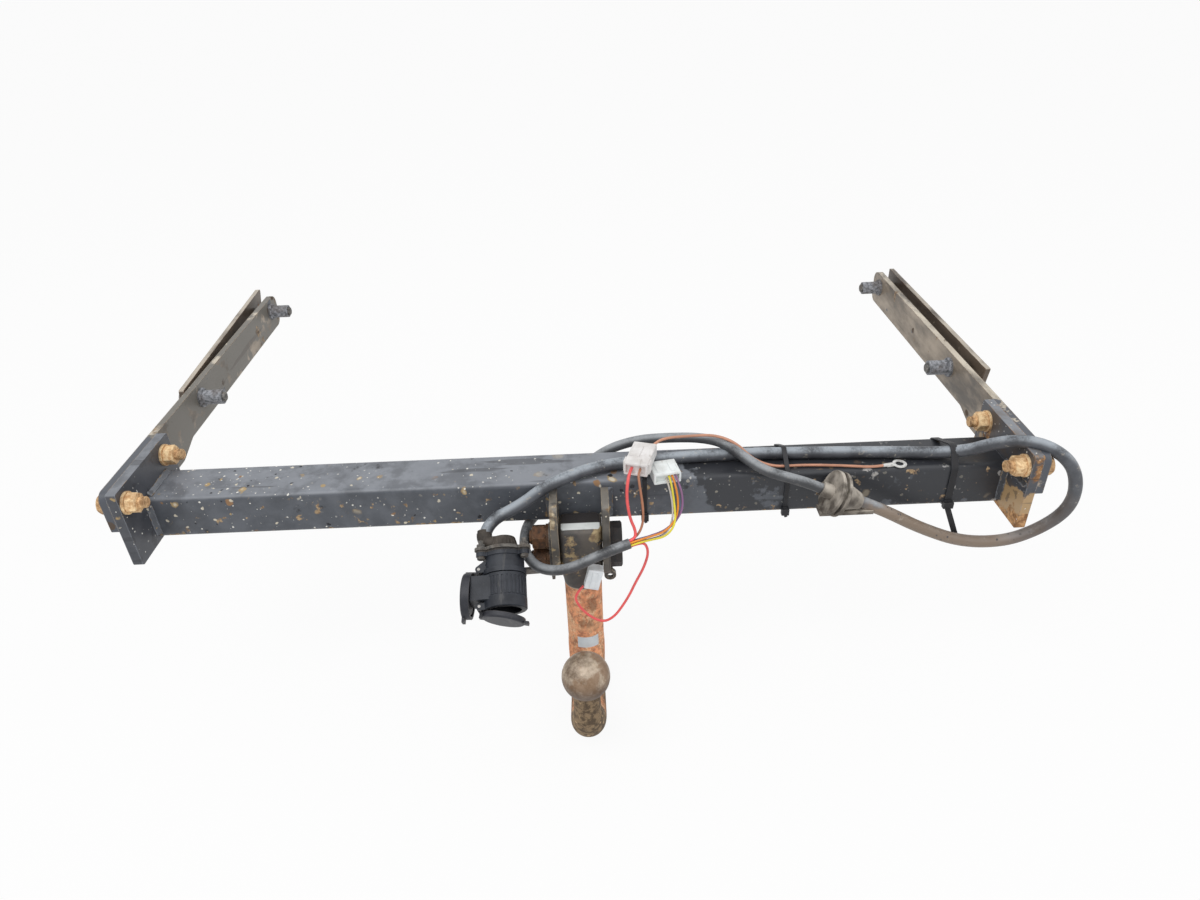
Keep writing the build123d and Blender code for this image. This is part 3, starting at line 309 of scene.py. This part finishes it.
cheekCoat = dict(
    barPaint, paint=tone(82, 80, 77), paintAlso=tone(106, 100, 92), topDustAndLight=0.5, dust=tone(150, 144, 134),
    stains=0.6, stainColour=tone(60, 57, 53), coats=(),
    edgeHighlight=0.4, edgeColour=tone(150, 144, 134), edgeBreak=0.86,
    rustFrom=0.55, rustDark=tone(116, 94, 70), rustLight=tone(204, 188, 158), zones=(),
    scratchWay=(1, 1, 0.1),
    spots=((60, 0.7, 0.24, tone(168, 148, 112)), (140, 0.5, 0.2, cream)))


# swan neck: dark paint on the head, rust on the shank, worn steel on the ball with painted glints and painted
# shade below
def forgedNeck(name, look):
    finish = Finish(name)
    height, depth = finish.along("Z"), finish.along("Y")
    grain, fine = finish.noise(150, 8, 0.68), finish.noise(420, 6, 0.7)
    broad = finish.noise(46, 7, 0.6)
    waver = broad - 0.5
    streaks = finish.noise(90, 6, 0.62, stretch=(1, 1, 0.3))
    paint = finish.mix(finish.between(broad, 0.36, 0.64), look["paint"], look["paintAlso"])
    patch = finish.chips(34, 0.95, 0.34).most(finish.between(finish.noise(70, 8, 0.66), 0.56, 0.62))
    dusty = finish.mix(finish.between(grain, 0.4, 0.6), look["patch"], look["patchAlso"])
    paint = finish.mix(patch * 0.85, paint, dusty)
    rust = finish.mix(finish.between(grain, 0.38, 0.6), look["rustDark"], look["rust"])
    rust = finish.mix(finish.between(fine * 0.5 + streaks * 0.6, 0.54, 0.66), rust, look["rustLight"])
    rust = finish.mix(finish.between(streaks * 0.5 + broad * 0.5, 0.5, 0.6) * 0.75, rust, look["stain"])
    stem = finish.mix(finish.between(grain, 0.42, 0.58), look["stemDark"], look["stem"])
    stem = finish.mix(finish.chips(130, 0.6, 0.26), stem, look["stemLight"])
    tarnish = finish.between(finish.noise(48, 8, 0.7), 0.34, 0.64)
    steel = finish.mix(tarnish, look["steelDark"], look["steel"])
    # painted glints: light streaks on the ball's steel
    paintedGlints = finish.between(finish.noise(150, 8, 0.72, stretch=(1, 1, 0.4)), 0.48, 0.68)
    steel = finish.mix(paintedGlints * 0.6, steel, look["steelGlint"])
    browned = finish.between(finish.noise(40, 7, 0.66, shift=(2, 4, 1)), 0.47, 0.6)
    steel = finish.mix(browned * 0.7, steel, look["steelBrown"])
    # painted shade on the underside of the ball
    steel = finish.mix(finish.between(finish.facing("Z"), 0.45, -0.3) * 0.75, steel, look["steelShadeBelow"])
    # paint ends at a pale line, and the shank has a bright ring
    paintLine = waver * (4 * mm) + look["paintLine"]
    bare = finish.between(height, paintLine + 0.4 * mm, paintLine - 0.4 * mm)
    colour = finish.mix(bare, paint, rust)
    line = finish.between(abs(height - paintLine), 1.1 * mm, 0.3 * mm)
    colour = finish.mix(line * 0.7, colour, look["lineColour"])
    ring = abs(height - look["brightRing"] + waver * (8 * mm))
    colour = finish.mix(finish.between(ring, 6 * mm, 1 * mm) * 0.6, colour, look["ringColour"])
    # bend, stem and ball
    low = finish.between(height + waver * (30 * mm), look["lowFrom"], look["lowFrom"] - 20 * mm)
    front = finish.between(depth + waver * (20 * mm), look["stemFrom"], look["stemFrom"] - 12 * mm)
    colour = finish.mix(low.most(front), colour, stem)
    away = finish.node("ShaderNodeVectorMath", {"operation": "DISTANCE"}, {0: finish.place, 1: look["ball"]},
                       out="Value")
    ball = finish.between(away, look["ballRadius"] + 1.2 * mm, look["ballRadius"] + 0.4 * mm)
    colour = finish.mix(ball, colour, steel)
    # machined strip and a painted shadow of the tube on the head's flat top
    top = finish.between(height, look["headTop"] - 3 * mm, look["headTop"] - 1 * mm)
    top = finish.between(finish.facing("Z"), 0.8, 0.97) * top
    colour = finish.mix(top * finish.between(depth, *look["tubeShadowFrom"]), colour, look["tubeShadow"])
    strip = top * finish.between(depth, *look["shineFrom"]) * finish.between(depth, *look["shineTo"])
    colour = finish.mix(strip, colour, look["machined"])
    finish.wear("Base Color", colour)
    finish.wear("Metallic", ball * 0.2)
    finish.wear("Roughness", 0.78 - ball * 0.3 - (1 - bare) * 0.2 + grain * 0.12)
    rough = bare * (1 - ball)
    pits = grain * (rough * 0.9 + 0.12) + fine * (rough * 0.6 + 0.08) + patch * (bare - 1) * 0.3
    finish.relief(pits, 0.9 * mm)
    return finish.material


neckCoat = {
    "paint": tone(70, 68, 67), "paintAlso": tone(98, 92, 86), "patch": tone(136, 112, 84),
    "patchAlso": tone(184, 162, 122), "paintLine": levelAt(-115), "lineColour": tone(196, 186, 170),
    "rust": tone(244, 172, 126), "rustDark": tone(182, 122, 92), "rustLight": tone(250, 216, 174),
    "stain": tone(134, 90, 62), "brightRing": levelAt(-174), "ringColour": tone(232, 176, 134),
    "stem": tone(142, 120, 92), "stemDark": tone(84, 68, 50), "stemLight": tone(190, 162, 124),
    "lowFrom": levelAt(-232), "stemFrom": depthAt(-96),
    "steel": tone(194, 177, 158), "steelDark": tone(112, 94, 76), "steelGlint": tone(206, 188, 164),
    "steelBrown": tone(126, 95, 66), "steelShadeBelow": tone(78, 57, 43),
    "ball": atTube(0, -125.5, -155), "ballRadius": 25 * mm,
    "headTop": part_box("swan_neck")[1].z, "machined": tone(232, 236, 234), "tubeShadow": tone(48, 45, 45),
    "tubeShadowFrom": (depthAt(-22), depthAt(-19)), "shineFrom": (depthAt(-33), depthAt(-32)),
    "shineTo": (depthAt(-20.5), depthAt(-21.5))}


# fasteners and other small metal
def rustySteel(name, look):
    finish = Finish(name)
    grain, broad = finish.noise(240, 7, 0.65), finish.noise(70, 4)
    edge = finish.edges(1.2 * mm)
    colour = finish.mix(finish.between(grain, 0.34, 0.66), look["dark"], look["light"])
    colour = finish.mix(finish.between(broad, 0.47, 0.62) * look["dirt"], colour, look["dirtColour"])
    colour = finish.mix(edge * 0.5, colour, look["edgeColour"])
    height = grain + broad * 0.5
    if "blackFrom" in look:  # fasteners right of this place still have their black coat
        black = finish.between(finish.along("X"), look["blackFrom"], look["blackFrom"] + mm)
        colour = finish.mix(black * 0.9, colour, look["blackColour"])
    if "thread" in look:  # on the bolts' inner ends
        across = abs(finish.along("X"))
        turns = (across * (2 * pi / look["thread"])).wave()
        height = height + turns * finish.between(across, look["threadEnd"] + mm, look["threadEnd"]) * 1.1
    finish.wear("Base Color", colour)
    finish.wear("Metallic", finish.between(grain, 0.7, 0.4) * look["metal"])
    finish.wear("Roughness", 0.5 + grain * 0.35)
    finish.relief(height, 0.5 * mm, 0.6 * mm)
    return finish.material


tanRust = {"dark": tone(200, 156, 108), "light": tone(252, 222, 174), "dirt": 0.4,
           "dirtColour": tone(158, 114, 74), "edgeColour": tone(255, 232, 190), "metal": 0.05}
boltRust = dict(tanRust, dark=tone(156, 116, 78), light=tone(236, 196, 146),
                thread=1.75 * mm, threadEnd=0.437)
neckRust = {"dark": tone(54, 34, 18), "light": tone(108, 72, 44), "dirt": 0.5,
            "dirtColour": tone(62, 44, 30), "edgeColour": tone(176, 142, 106), "metal": 0.15,
            "blackFrom": 0.02, "blackColour": tone(48, 50, 52)}
dullSteel = {"dark": tone(62, 62, 62), "light": tone(110, 106, 100), "dirt": 0.45,
             "dirtColour": tone(84, 70, 58), "edgeColour": tone(158, 152, 144), "metal": 0.3}
bareBolt = dict(dullSteel, light=tone(140, 138, 134))
wornSteel = dict(dullSteel, dark=tone(96, 98, 102), light=tone(166, 168, 174), edgeColour=tone(196, 198, 202))
brightSteel = {"dark": tone(150, 148, 144), "light": tone(206, 204, 200), "dirt": 0.3,
               "dirtColour": tone(120, 112, 100), "edgeColour": tone(226, 224, 220), "metal": 0.7}
brass = dict(brightSteel, dark=tone(150, 118, 60), light=tone(206, 172, 104))
tinned = dict(brightSteel, dark=tone(206, 206, 204), light=tone(236, 236, 234), metal=0.4)


# moulded plastic and rubber
def dustyPlastic(name, look):
    finish = Finish(name)
    cloud, fine = finish.noise(60, 5), finish.noise(700, 3)
    edge = finish.edges(1.2 * mm)
    upward = finish.between(finish.facing("Z"), 0.0, 0.9)
    colour = finish.mix(finish.between(cloud, 0.35, 0.7), look["colour"], look["colourAlso"])
    colour = finish.mix(upward * look["dust"] * finish.between(cloud, 0.3, 0.62), colour, look["dustColour"])
    colour = finish.mix(edge * look["edge"], colour, look["edgeColour"])
    scuffs = finish.between(finish.noise(130, 4, 0.6, stretch=(1, 0.2, 0.3)), 0.62, 0.68)
    colour = finish.mix(scuffs * look["scuffs"], colour, look["scuffColour"])
    finish.wear("Base Color", colour)
    finish.wear("Roughness", look["rough"] + cloud * 0.18)
    finish.shader.inputs["Specular IOR Level"].default_value = 0.35
    finish.relief(fine + cloud, look["relief"], 0.8 * mm)
    return finish.material


blackShell = {"colour": tone(25, 29, 37), "colourAlso": tone(38, 43, 52), "dust": 0.14,
              "dustColour": tone(92, 92, 94), "edge": 0.35, "edgeColour": tone(96, 101, 112),
              "scuffs": 0.25, "scuffColour": tone(104, 102, 100), "rough": 0.4, "relief": 0.2 * mm}
lidShell = dict(blackShell, colour=tone(34, 36, 43), colourAlso=tone(48, 49, 56), edge=0.5,
                edgeColour=tone(104, 98, 92))
boreShell = dict(blackShell, colour=tone(22, 23, 27), colourAlso=tone(32, 33, 37), edge=0.2)
blackNylon = dict(blackShell, colour=tone(28, 28, 31), colourAlso=tone(40, 40, 43), dust=0.15, edge=0.3)
bootRubber = dict(blackShell, colour=tone(44, 40, 35), colourAlso=tone(68, 62, 55), dust=0.3,
                  dustColour=tone(108, 99, 92), edge=0.3, edgeColour=tone(112, 103, 96), rough=0.6,
                  relief=0.4 * mm)
grommetRubber = dict(bootRubber, colour=tone(76, 69, 62), colourAlso=tone(150, 142, 132), dust=0.8,
                     dustColour=tone(206, 198, 186), edgeColour=tone(176, 168, 158))
gasketRubber = dict(bootRubber, colour=tone(34, 34, 34), colourAlso=tone(46, 45, 44))
boneShell = {"colour": tone(235, 233, 232), "colourAlso": tone(217, 214, 212), "dust": 0.25,
             "dustColour": tone(186, 176, 168), "edge": 0.4, "edgeColour": tone(238, 234, 230),
             "scuffs": 0.3, "scuffColour": tone(150, 138, 128), "rough": 0.4, "relief": 0.2 * mm}
paleShell = dict(boneShell, colour=tone(238, 243, 243), colourAlso=tone(222, 229, 229),
                 edgeColour=tone(250, 252, 252))
greyShell = dict(boneShell, colour=tone(240, 244, 247), colourAlso=tone(224, 229, 233),
                 edgeColour=tone(250, 252, 253))
foil = {"colour": tone(212, 219, 223), "colourAlso": tone(190, 198, 203), "dust": 0.2,
        "dustColour": tone(150, 132, 112), "edge": 0.5, "edgeColour": tone(212, 218, 222),
        "scuffs": 0.5, "scuffColour": tone(140, 120, 98), "rough": 0.34, "relief": 0.1 * mm}


# cable sheath and wire insulation
def sheath(name, look):
    finish = Finish(name)
    cloud, fine = finish.noise(30, 6, 0.6), finish.noise(500, 4)
    colour = finish.mix(finish.between(cloud, 0.36, 0.64), look["colour"], look["colourAlso"])
    # lighter on upward faces: dust, and on the two cables a painted highlight along the top
    upward = finish.between(finish.facing("Z"), look["dustAndSheenFrom"], 0.98)
    dusty = upward * look["dust"] * finish.between(cloud + fine * 0.3, 0.4, 0.74)
    colour = finish.mix(dusty, colour, look["dustColour"])
    if "lowStretch" in look:  # brown dust where the loop hangs low
        low, waver = look["lowStretch"], cloud - 0.5
        share = finish.between(finish.along("Z") + waver * (60 * mm), low["above"], low["below"])
        across = finish.along("X")
        share = share * finish.between(across + waver * (50 * mm), *low["rightEnd"])
        share = share * finish.between(across, *low["leftEnd"])
        colour = finish.mix(share * 0.85, colour, low["colour"])
        colour = finish.mix(finish.chips(190, 0.7, 0.27) * share * 0.8, colour, look["colour"])
    smears = finish.between(finish.noise(120, 6, 0.66), 0.6, 0.68)
    colour = finish.mix(smears * look["smears"], colour, look["smearColour"])
    finish.wear("Base Color", colour)
    finish.wear("Roughness", look["rough"] + cloud * 0.15)
    finish.relief(fine + cloud * 0.6, 0.2 * mm)
    return finish.material


# the two cables' upward colour is mostly a painted highlight, with some dust
mainLook = {"colour": tone(60, 62, 67), "colourAlso": tone(88, 91, 97), "dust": 0.85, "dustAndSheenFrom": 0.22,
            "dustColour": tone(172, 180, 188), "smears": 0.5, "smearColour": tone(176, 166, 152),
            "rough": 0.42,
            "lowStretch": {"above": levelAt(-10), "below": levelAt(-24), "rightEnd": (0.54, 0.44),
                           "leftEnd": (0.28, 0.31), "colour": tone(140, 122, 105)}}
harnessLook = {"colour": tone(58, 59, 62), "colourAlso": tone(85, 87, 90), "dust": 0.8, "dustAndSheenFrom": 0.22,
               "dustColour": tone(168, 172, 176), "smears": 0.3, "smearColour": tone(140, 132, 122),
               "rough": 0.42}
wireDirt = tone(120, 104, 90)
wireTones = {"orange": tone(245, 150, 40), "yellow": tone(240, 225, 60), "violet": tone(150, 104, 150),
             "blue": tone(120, 142, 172), "white": tone(220, 214, 206), "red": tone(250, 100, 100),
             "brown": tone(185, 125, 95), "earth": tone(208, 150, 122)}


def insulation(name, colour):
    shaded = tuple(part * 0.82 for part in colour[:3]) + (1.0,)
    return sheath(name, {"colour": colour, "colourAlso": shaded, "dust": 0.15, "dustAndSheenFrom": 0.0,
                         "dustColour": wireDirt, "smears": 0.25, "smearColour": wireDirt, "rough": 0.35})


# one finish for each of the part's material slots
finishes = {
    "cross_tube": wornPaint("barPaint", barPaint),
    "end_plate_left": wornPaint("platePaint", platePaint),
    "end_plate_right": wornPaint("rustyPlate", rustyPlate),
    "welds": wornPaint("seamPaint", seamPaint),
    "arms": wornPaint("armCoat", armCoat),
    "outer_plates": wornPaint("outerCoat", outerCoat),
    "cheeks": wornPaint("cheekCoat", cheekCoat),
    "swan_neck": forgedNeck("neckCoat", neckCoat),
    "bolts": rustySteel("boltRust", boltRust),
    "arm_nuts": rustySteel("nutRust", tanRust),
    "arm_washers": rustySteel("washerRust", tanRust),
    "sleeves": rustySteel("sleeveSteel", wornSteel),
    "neck_fasteners": rustySteel("neckRust", neckRust),
    "socket_bracket": rustySteel("bracketSteel", dullSteel),
    "screws": rustySteel("screwSteel", dullSteel),
    "contacts": rustySteel("contactBrass", brass),
    "hinge_steel": rustySteel("hingeSteel", brightSteel),
    "terminal": rustySteel("tinnedTerminal", tinned),
    "gasket": dustyPlastic("gasketRubber", gasketRubber),
    "socket_plastic": dustyPlastic("socketShell", blackShell),
    "adapter_plastic": dustyPlastic("adapterShell", blackShell),
    "lid_plastic": dustyPlastic("lidShell", lidShell),
    "insert_plastic": dustyPlastic("insertShell", boreShell),
    "boot_rubber": dustyPlastic("bootRubber", bootRubber),
    "grommet_rubber": dustyPlastic("grommetRubber", grommetRubber),
    "connector_left": dustyPlastic("boneShell", boneShell),
    "connector_right": dustyPlastic("paleShell", paleShell),
    "connector_small": dustyPlastic("greyShell", greyShell),
    "ties": dustyPlastic("tieNylon", blackNylon),
    "main_sheath": sheath("mainSheath", mainLook),
    "harness_sheath": sheath("harnessSheath", harnessLook)}
for word, colour in wireTones.items():
    finishes["wire_" + word] = insulation(word + "Wire", colour)
slotOf = {entry["node"]: entry["material_slot"] for entry in frame["record"]["subparts"]}
bareFinishes = {"chassis_bolts": rustySteel("bareBoltSteel", bareBolt)}
for name, node in nodes.items():
    node.data.materials.clear()
    node.data.materials.append(bareFinishes.get(name, finishes[slotOf[name]]))
print("stage: finishes")


# free cables and wires, laid as in the photograph
def runCord(name, node, points, look):
    curve = bpy.data.curves.new(name, "CURVE")
    curve.dimensions = "3D"
    curve.bevel_depth = look["diameter"] / 2
    curve.bevel_resolution = 5
    curve.resolution_u = 10
    curve.use_fill_caps = True
    spline = curve.splines.new("NURBS")
    spline.points.add(len(points) - 1)
    for spot, point in zip(spline.points, points):
        spot.co = (*point, 1.0)
    spline.order_u = 3
    spline.use_endpoint_u = True
    piece = bpy.data.objects.new(name, curve)
    bpy.context.scene.collection.objects.link(piece)
    piece.data.materials.append(finishes[slotOf[node]])
    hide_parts(node)
    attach(piece, "bar")


mainCable = {"diameter": 0.0132, "length": 1.009, "farEnd": "fitting", "stiffness": "stiff",
             "pieces": ["grommet"]}
harnessCable = {"diameter": 0.0112, "length": 0.568, "farEnd": "bare", "stiffness": "medium"}
mainRoute = [atTube(*p) for p in (
    (-100, -39.9, -43.8), (-100.7, -23.1, -32.9), (-60.1, -11.9, -17.4), (-37, -8.5, 0), (-12, -3, 9),
    (16, 14, 8), (52, 24, 6.8), (132, 31, 7.2), (216, 30, 6.8), (312, 24, 7.2), (408, 15, 6.9), (436, -4, 31),
    (459, -20, 41), (479, -33, 38), (500, -38, 20), (515, -33, -15), (516, -25, -48), (495, -20, -74),
    (462, -19, -89), (413, -21, -85), (362, -25, -60), (322, -27, -35), (292, -27, -20.5), (270, -27, -11))]
harnessRoute = [atTube(*p) for p in (
    (256, -27, -5), (240, -24.5, 2), (222, -20, 6.5), (197, -9, 9), (178, 9, 14.5), (160, 34, 19.4),
    (137, 55, 15), (104, 66, 10), (65, 69, 7), (28, 69, -6), (2, 68, -30), (-21, 63, -58), (-42, 40, -61),
    (-57, 12, -57.5), (-61, -13, -58), (-60, -34, -66), (-45, -48, -77), (-16, -55, -74), (21, -52, -56),
    (51, -44, -50))]
runCord("mainCable", "main_cable", mainRoute, mainCable)
runCord("harnessCable", "harness_cable", harnessRoute, harnessCable)

# wires fan out of the harness sheath's end
strandCircle, strandCount = 3.2 * mm, 7
sheathWay = (harnessRoute[-1] - harnessRoute[-2]).normalized()
acrossSheath = Vector((-sheathWay.z, 0, sheathWay.x)).normalized()
upSheath = sheathWay.cross(acrossSheath)


def strand(number, reach=0.0):
    spot = harnessRoute[-1] + sheathWay * reach
    if number == 0:
        return spot
    turn = 2 * pi * number / strandCount
    return spot + (acrossSheath * cos(turn) + upSheath * sin(turn)) * strandCircle


def leaves(number, points, straight=9):  # straight: millimetres before the wire turns
    return [strand(number), strand(number, straight * mm)] + [atTube(*p) for p in points]


# connectors, in millimetres and degrees
leftPlug = {"middle": atTube(66, 5, 22.6), "turn": -18, "length": 43}
rightPlug = {"middle": atTube(91, 2, 7.2), "turn": 10, "length": 26}
plugChamber, plugFit = 3.0, 0.05


def atPlug(plug, x, y, z):
    turn = radians(plug["turn"])
    return plug["middle"] + Vector((x * cos(turn) - y * sin(turn), x * sin(turn) + y * cos(turn), z)) * mm


def enters(plug, x, z, run):
    floor = plugChamber - plug["length"] / 2 - plugFit
    return [atPlug(plug, x, floor - away, z) for away in (run, 0)]


wireLook = {"diameter": 0.0022, "farEnd": "connector", "stiffness": "limp", "pieces": ["connector_right"]}
bundle = (  # colour, strand, length, x and z in the connector, points
    ("orange", 1, 0.106, (5, 1.8), ((72, -45, -41.5), (88, -42, -38.5), (100.5, -35.5, -27), (103, -29, -9))),
    ("yellow", 2, 0.108, (1.5, 1.8), ((73, -46.5, -44.5), (89, -44.5, -42.5), (99, -40, -30.5),
                                      (98.5, -33, -12))),
    ("violet", 0, 0.109, (8.5, 1.8), ((72, -42.3, -42.5), (89, -38, -39.5), (105.5, -32, -25.5),
                                      (108, -27, -6))),
    ("blue", 5, 0.105, (6.5, -1.8), ((72, -39.5, -45), (88, -36.5, -42.5), (103, -31.5, -31),
                                     (105, -25.5, -13))),
    ("white", 4, 0.103, (-1, -1.8), ((73, -41, -48), (88, -36, -47), (96, -31, -38), (98, -26, -18))))
for word, number, length, (x, z), points in bundle:
    runCord("fan" + word.capitalize(), "wire_" + word, leaves(number, points) + enters(rightPlug, x, z, 10),
            dict(wireLook, length=length))
feedLook = dict(wireLook, diameter=0.0032, length=0.089, pieces=["connector_left"])
brownLook = dict(wireLook, diameter=0.0026, length=0.089, pieces=["connector_left"])
linkLook = dict(wireLook, diameter=0.0028, length=0.198, pieces=["connector_small"])
earthLook = dict(wireLook, diameter=0.003, length=0.268, farEnd="fitting", pieces=["ring_terminal"])
feedRoute = leaves(7, (
    (57.5, -39.5, -36.5), (52.5, -36, -25), (50, -32.5, -10), (49.5, -30.5, 2), (50, -29.5, 12)), straight=7)
feedRoute += enters(leftPlug, -4.5, 0, 12)
brownRoute = leaves(6, ((66, -34, -33), (66, -30.5, -14), (64, -29.5, 3), (62.5, -28, 14)))
brownRoute += enters(leftPlug, 4.5, 0, 9)
linkRoute = leaves(3, (
    (67.5, -45.5, -49.5), (70.5, -47.5, -61), (65, -50, -79), (56, -50, -99), (50, -50, -115),
    (42, -50, -131), (33, -50, -146), (21, -50, -154), (6, -50, -145), (-6, -50, -128), (-10, -49.5, -113),
    (0.5, -47, -103)))
earthRoute = [atPlug(leftPlug, 7, leftPlug["length"] / 2 + plugFit + away, 1.4) for away in (0, 8)]
earthRoute += [atTube(*p) for p in (
    (94, 37.5, 27), (120, 43, 25), (148, 38, 28.5), (170, 27, 24), (186, 15, 10), (208, 9.5, 2.6),
    (238, 12, 1.8), (266, 9, 2.2), (292, 5.5, 2.1), (312, 1.5, 2.4), (327, 4.5, 2.4))]
runCord("redFeed", "wire_red_feed", feedRoute, feedLook)
runCord("brownWire", "wire_brown", brownRoute, brownLook)
runCord("redLink", "wire_red_link", linkRoute, linkLook)
runCord("earthWire", "wire_earth", earthRoute, earthLook)
print("stage: cables and wires")


# pieces that the solids only outline
def selectVertices(mesh, wanted):  # in edit mode, by place
    bpy.ops.object.mode_set(mode="OBJECT")
    for polygon in mesh.polygons:
        polygon.select = False
    for edge in mesh.edges:
        edge.select = False
    for vertex in mesh.vertices:
        vertex.select = wanted(vertex.co)
    bpy.ops.object.mode_set(mode="EDIT")
    bpy.ops.mesh.select_mode(type="VERT")


def finishPiece(piece, name, material):
    piece.name = piece.data.name = name
    piece.data.materials.clear()
    piece.data.materials.append(material)
    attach(piece, "bar")


def modify(piece, kind, settings):
    bpy.ops.object.select_all(action="DESELECT")
    piece.select_set(True)
    bpy.context.view_layer.objects.active = piece
    modifier = piece.modifiers.new(kind.title(), kind)
    for key, value in settings.items():
        setattr(modifier, key, value)
    bpy.ops.object.modifier_apply(modifier=modifier.name)


# weld beads: the plain fillets, remeshed and rippled
beads = {"merge": 1e-6, "voxel": 1.0 * mm, "smooth": 3, "rippleSize": 5 * mm, "ripple": 1.3 * mm,
         "level": 0.62}


def makeBeads(name, source, look):
    mesh = nodes[source].data.copy()
    piece = bpy.data.objects.new(name, mesh)
    bpy.context.scene.collection.objects.link(piece)
    modify(piece, "WELD", {"merge_threshold": look["merge"]})
    modify(piece, "REMESH", {"mode": "VOXEL", "voxel_size": look["voxel"]})
    modify(piece, "SMOOTH", {"factor": 0.5, "iterations": look["smooth"]})
    ripples = bpy.data.textures.new(name + "Ripples", "CLOUDS")
    ripples.noise_scale = look["rippleSize"]
    ripples.noise_depth = 2
    modify(piece, "DISPLACE", {"texture": ripples, "strength": look["ripple"], "mid_level": look["level"]})
    bpy.ops.object.shade_smooth()
    finishPiece(piece, name, finishes["welds"])
    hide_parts(source)


makeBeads("endBeads", "tube_end_welds", beads)
makeBeads("cheekBeads", "cheek_welds", beads)

# bare curved plate on the shank
plate = {"place": atTube(0, -18.5, -187), "height": 25 * mm, "width": 26 * mm, "turn": 7, "shank": 20.5 * mm,
         "stands": 0.12 * mm, "thick": 0.35 * mm, "rounding": 0.08 * mm, "sides": 144}


def makeShankPlate(look):
    bpy.ops.object.select_all(action="DESELECT")
    middle = look["place"]
    radius = look["shank"] + look["stands"]
    bpy.ops.mesh.primitive_circle_add(vertices=look["sides"], radius=radius, location=middle)
    piece = bpy.context.object
    bpy.ops.object.transform_apply(location=True)
    half = look["width"] / 2 / look["shank"]
    front = Vector((sin(radians(look["turn"])), -cos(radians(look["turn"])), 0))
    selectVertices(piece.data, lambda spot: (spot - middle).angle(front) > half)
    bpy.ops.mesh.delete(type="VERT")
    bpy.ops.mesh.select_all(action="SELECT")
    bpy.ops.mesh.extrude_region_move(TRANSFORM_OT_translate={"value": (0, 0, -look["height"])})
    bpy.ops.mesh.select_all(action="SELECT")
    bpy.ops.mesh.normals_make_consistent(inside=False)
    bpy.ops.object.mode_set(mode="OBJECT")
    modify(piece, "SOLIDIFY", {"thickness": look["thick"], "offset": 0})
    modify(piece, "BEVEL", {"width": look["rounding"], "segments": 2, "limit_method": "ANGLE"})
    bpy.ops.object.shade_smooth_by_angle(angle=radians(35))
    finishPiece(piece, "shankPlate", dustyPlastic("plateFoil", foil))


makeShankPlate(plate)
print("stage: beads and plate")


# floor, sky and lamps
# lamps: name, place, size in metres, power in watts
studio = {"floorDrop": 1.5 * mm, "floorSize": 60.0, "floorColour": (0.8, 0.8, 0.8, 1.0), "floorWhite": 0.92,
          "sky": 0.62,
          "lamps": (("key", (-0.9, -1.3, 2.2), 1.6, 30.0), ("fill", (1.6, -0.8, 1.5), 1.8, 10.0))}
white = (1, 1, 1, 1)


def seenDirectly(tree):  # by the camera, in a reflection or through glass
    rays = tree.nodes.new("ShaderNodeLightPath")
    seen = rays.outputs["Is Camera Ray"]
    for name in ("Is Glossy Ray", "Is Transmission Ray"):
        most = tree.nodes.new("ShaderNodeMath")
        most.operation = "MAXIMUM"
        tree.links.new(seen, most.inputs[0])
        tree.links.new(rays.outputs[name], most.inputs[1])
        seen = most.outputs[0]
    return seen


def makeFloor(look):
    bpy.ops.object.select_all(action="DESELECT")
    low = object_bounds()[0]
    bpy.ops.mesh.primitive_plane_add(size=look["floorSize"], location=(0, 0, low[2] - look["floorDrop"]))
    floor = bpy.context.object
    floor.name = "floor"
    finish = Finish("floorCard")
    finish.shader.inputs["Base Color"].default_value = look["floorColour"]
    finish.shader.inputs["Roughness"].default_value = 0.9
    glow = finish.node("ShaderNodeEmission", None, {"Color": white, "Strength": 1.0})
    share = Wire(finish, seenDirectly(finish.tree)) * look["floorWhite"]
    card = finish.node("ShaderNodeMixShader", None, {0: share, 2: glow})
    finish.tree.links.new(finish.shader.outputs[0], card.socket.node.inputs[1])
    finish.tree.links.new(card.socket, finish.tree.nodes["Material Output"].inputs["Surface"])
    floor.data.materials.append(finish.material)
    floor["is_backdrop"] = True


def makeSky(look):  # white where it is seen, dimmer where it lights the object
    world = bpy.data.worlds.new("studioSky")
    world.use_nodes = True
    tree = world.node_tree
    background = tree.nodes["Background"]
    level = tree.nodes.new("ShaderNodeMapRange")
    level.inputs["To Min"].default_value = look["sky"]
    level.inputs["To Max"].default_value = 1.0
    tree.links.new(seenDirectly(tree), level.inputs["Value"])
    tree.links.new(level.outputs[0], background.inputs["Strength"])
    background.inputs["Color"].default_value = white
    bpy.context.scene.world = world


def makeLamps(look):  # aimed at the part's origin
    for name, place, size, power in look["lamps"]:
        data = bpy.data.lights.new(name, "AREA")
        data.size = size
        data.energy = power
        lamp = bpy.data.objects.new(name, data)
        lamp.location = place
        lamp.rotation_euler = (-Vector(place)).to_track_quat("-Z", "Y").to_euler()
        bpy.context.scene.collection.objects.link(lamp)


makeFloor(studio)
makeSky(studio)
makeLamps(studio)
bpy.context.scene.view_settings.view_transform = "Standard"
print("stage: studio")
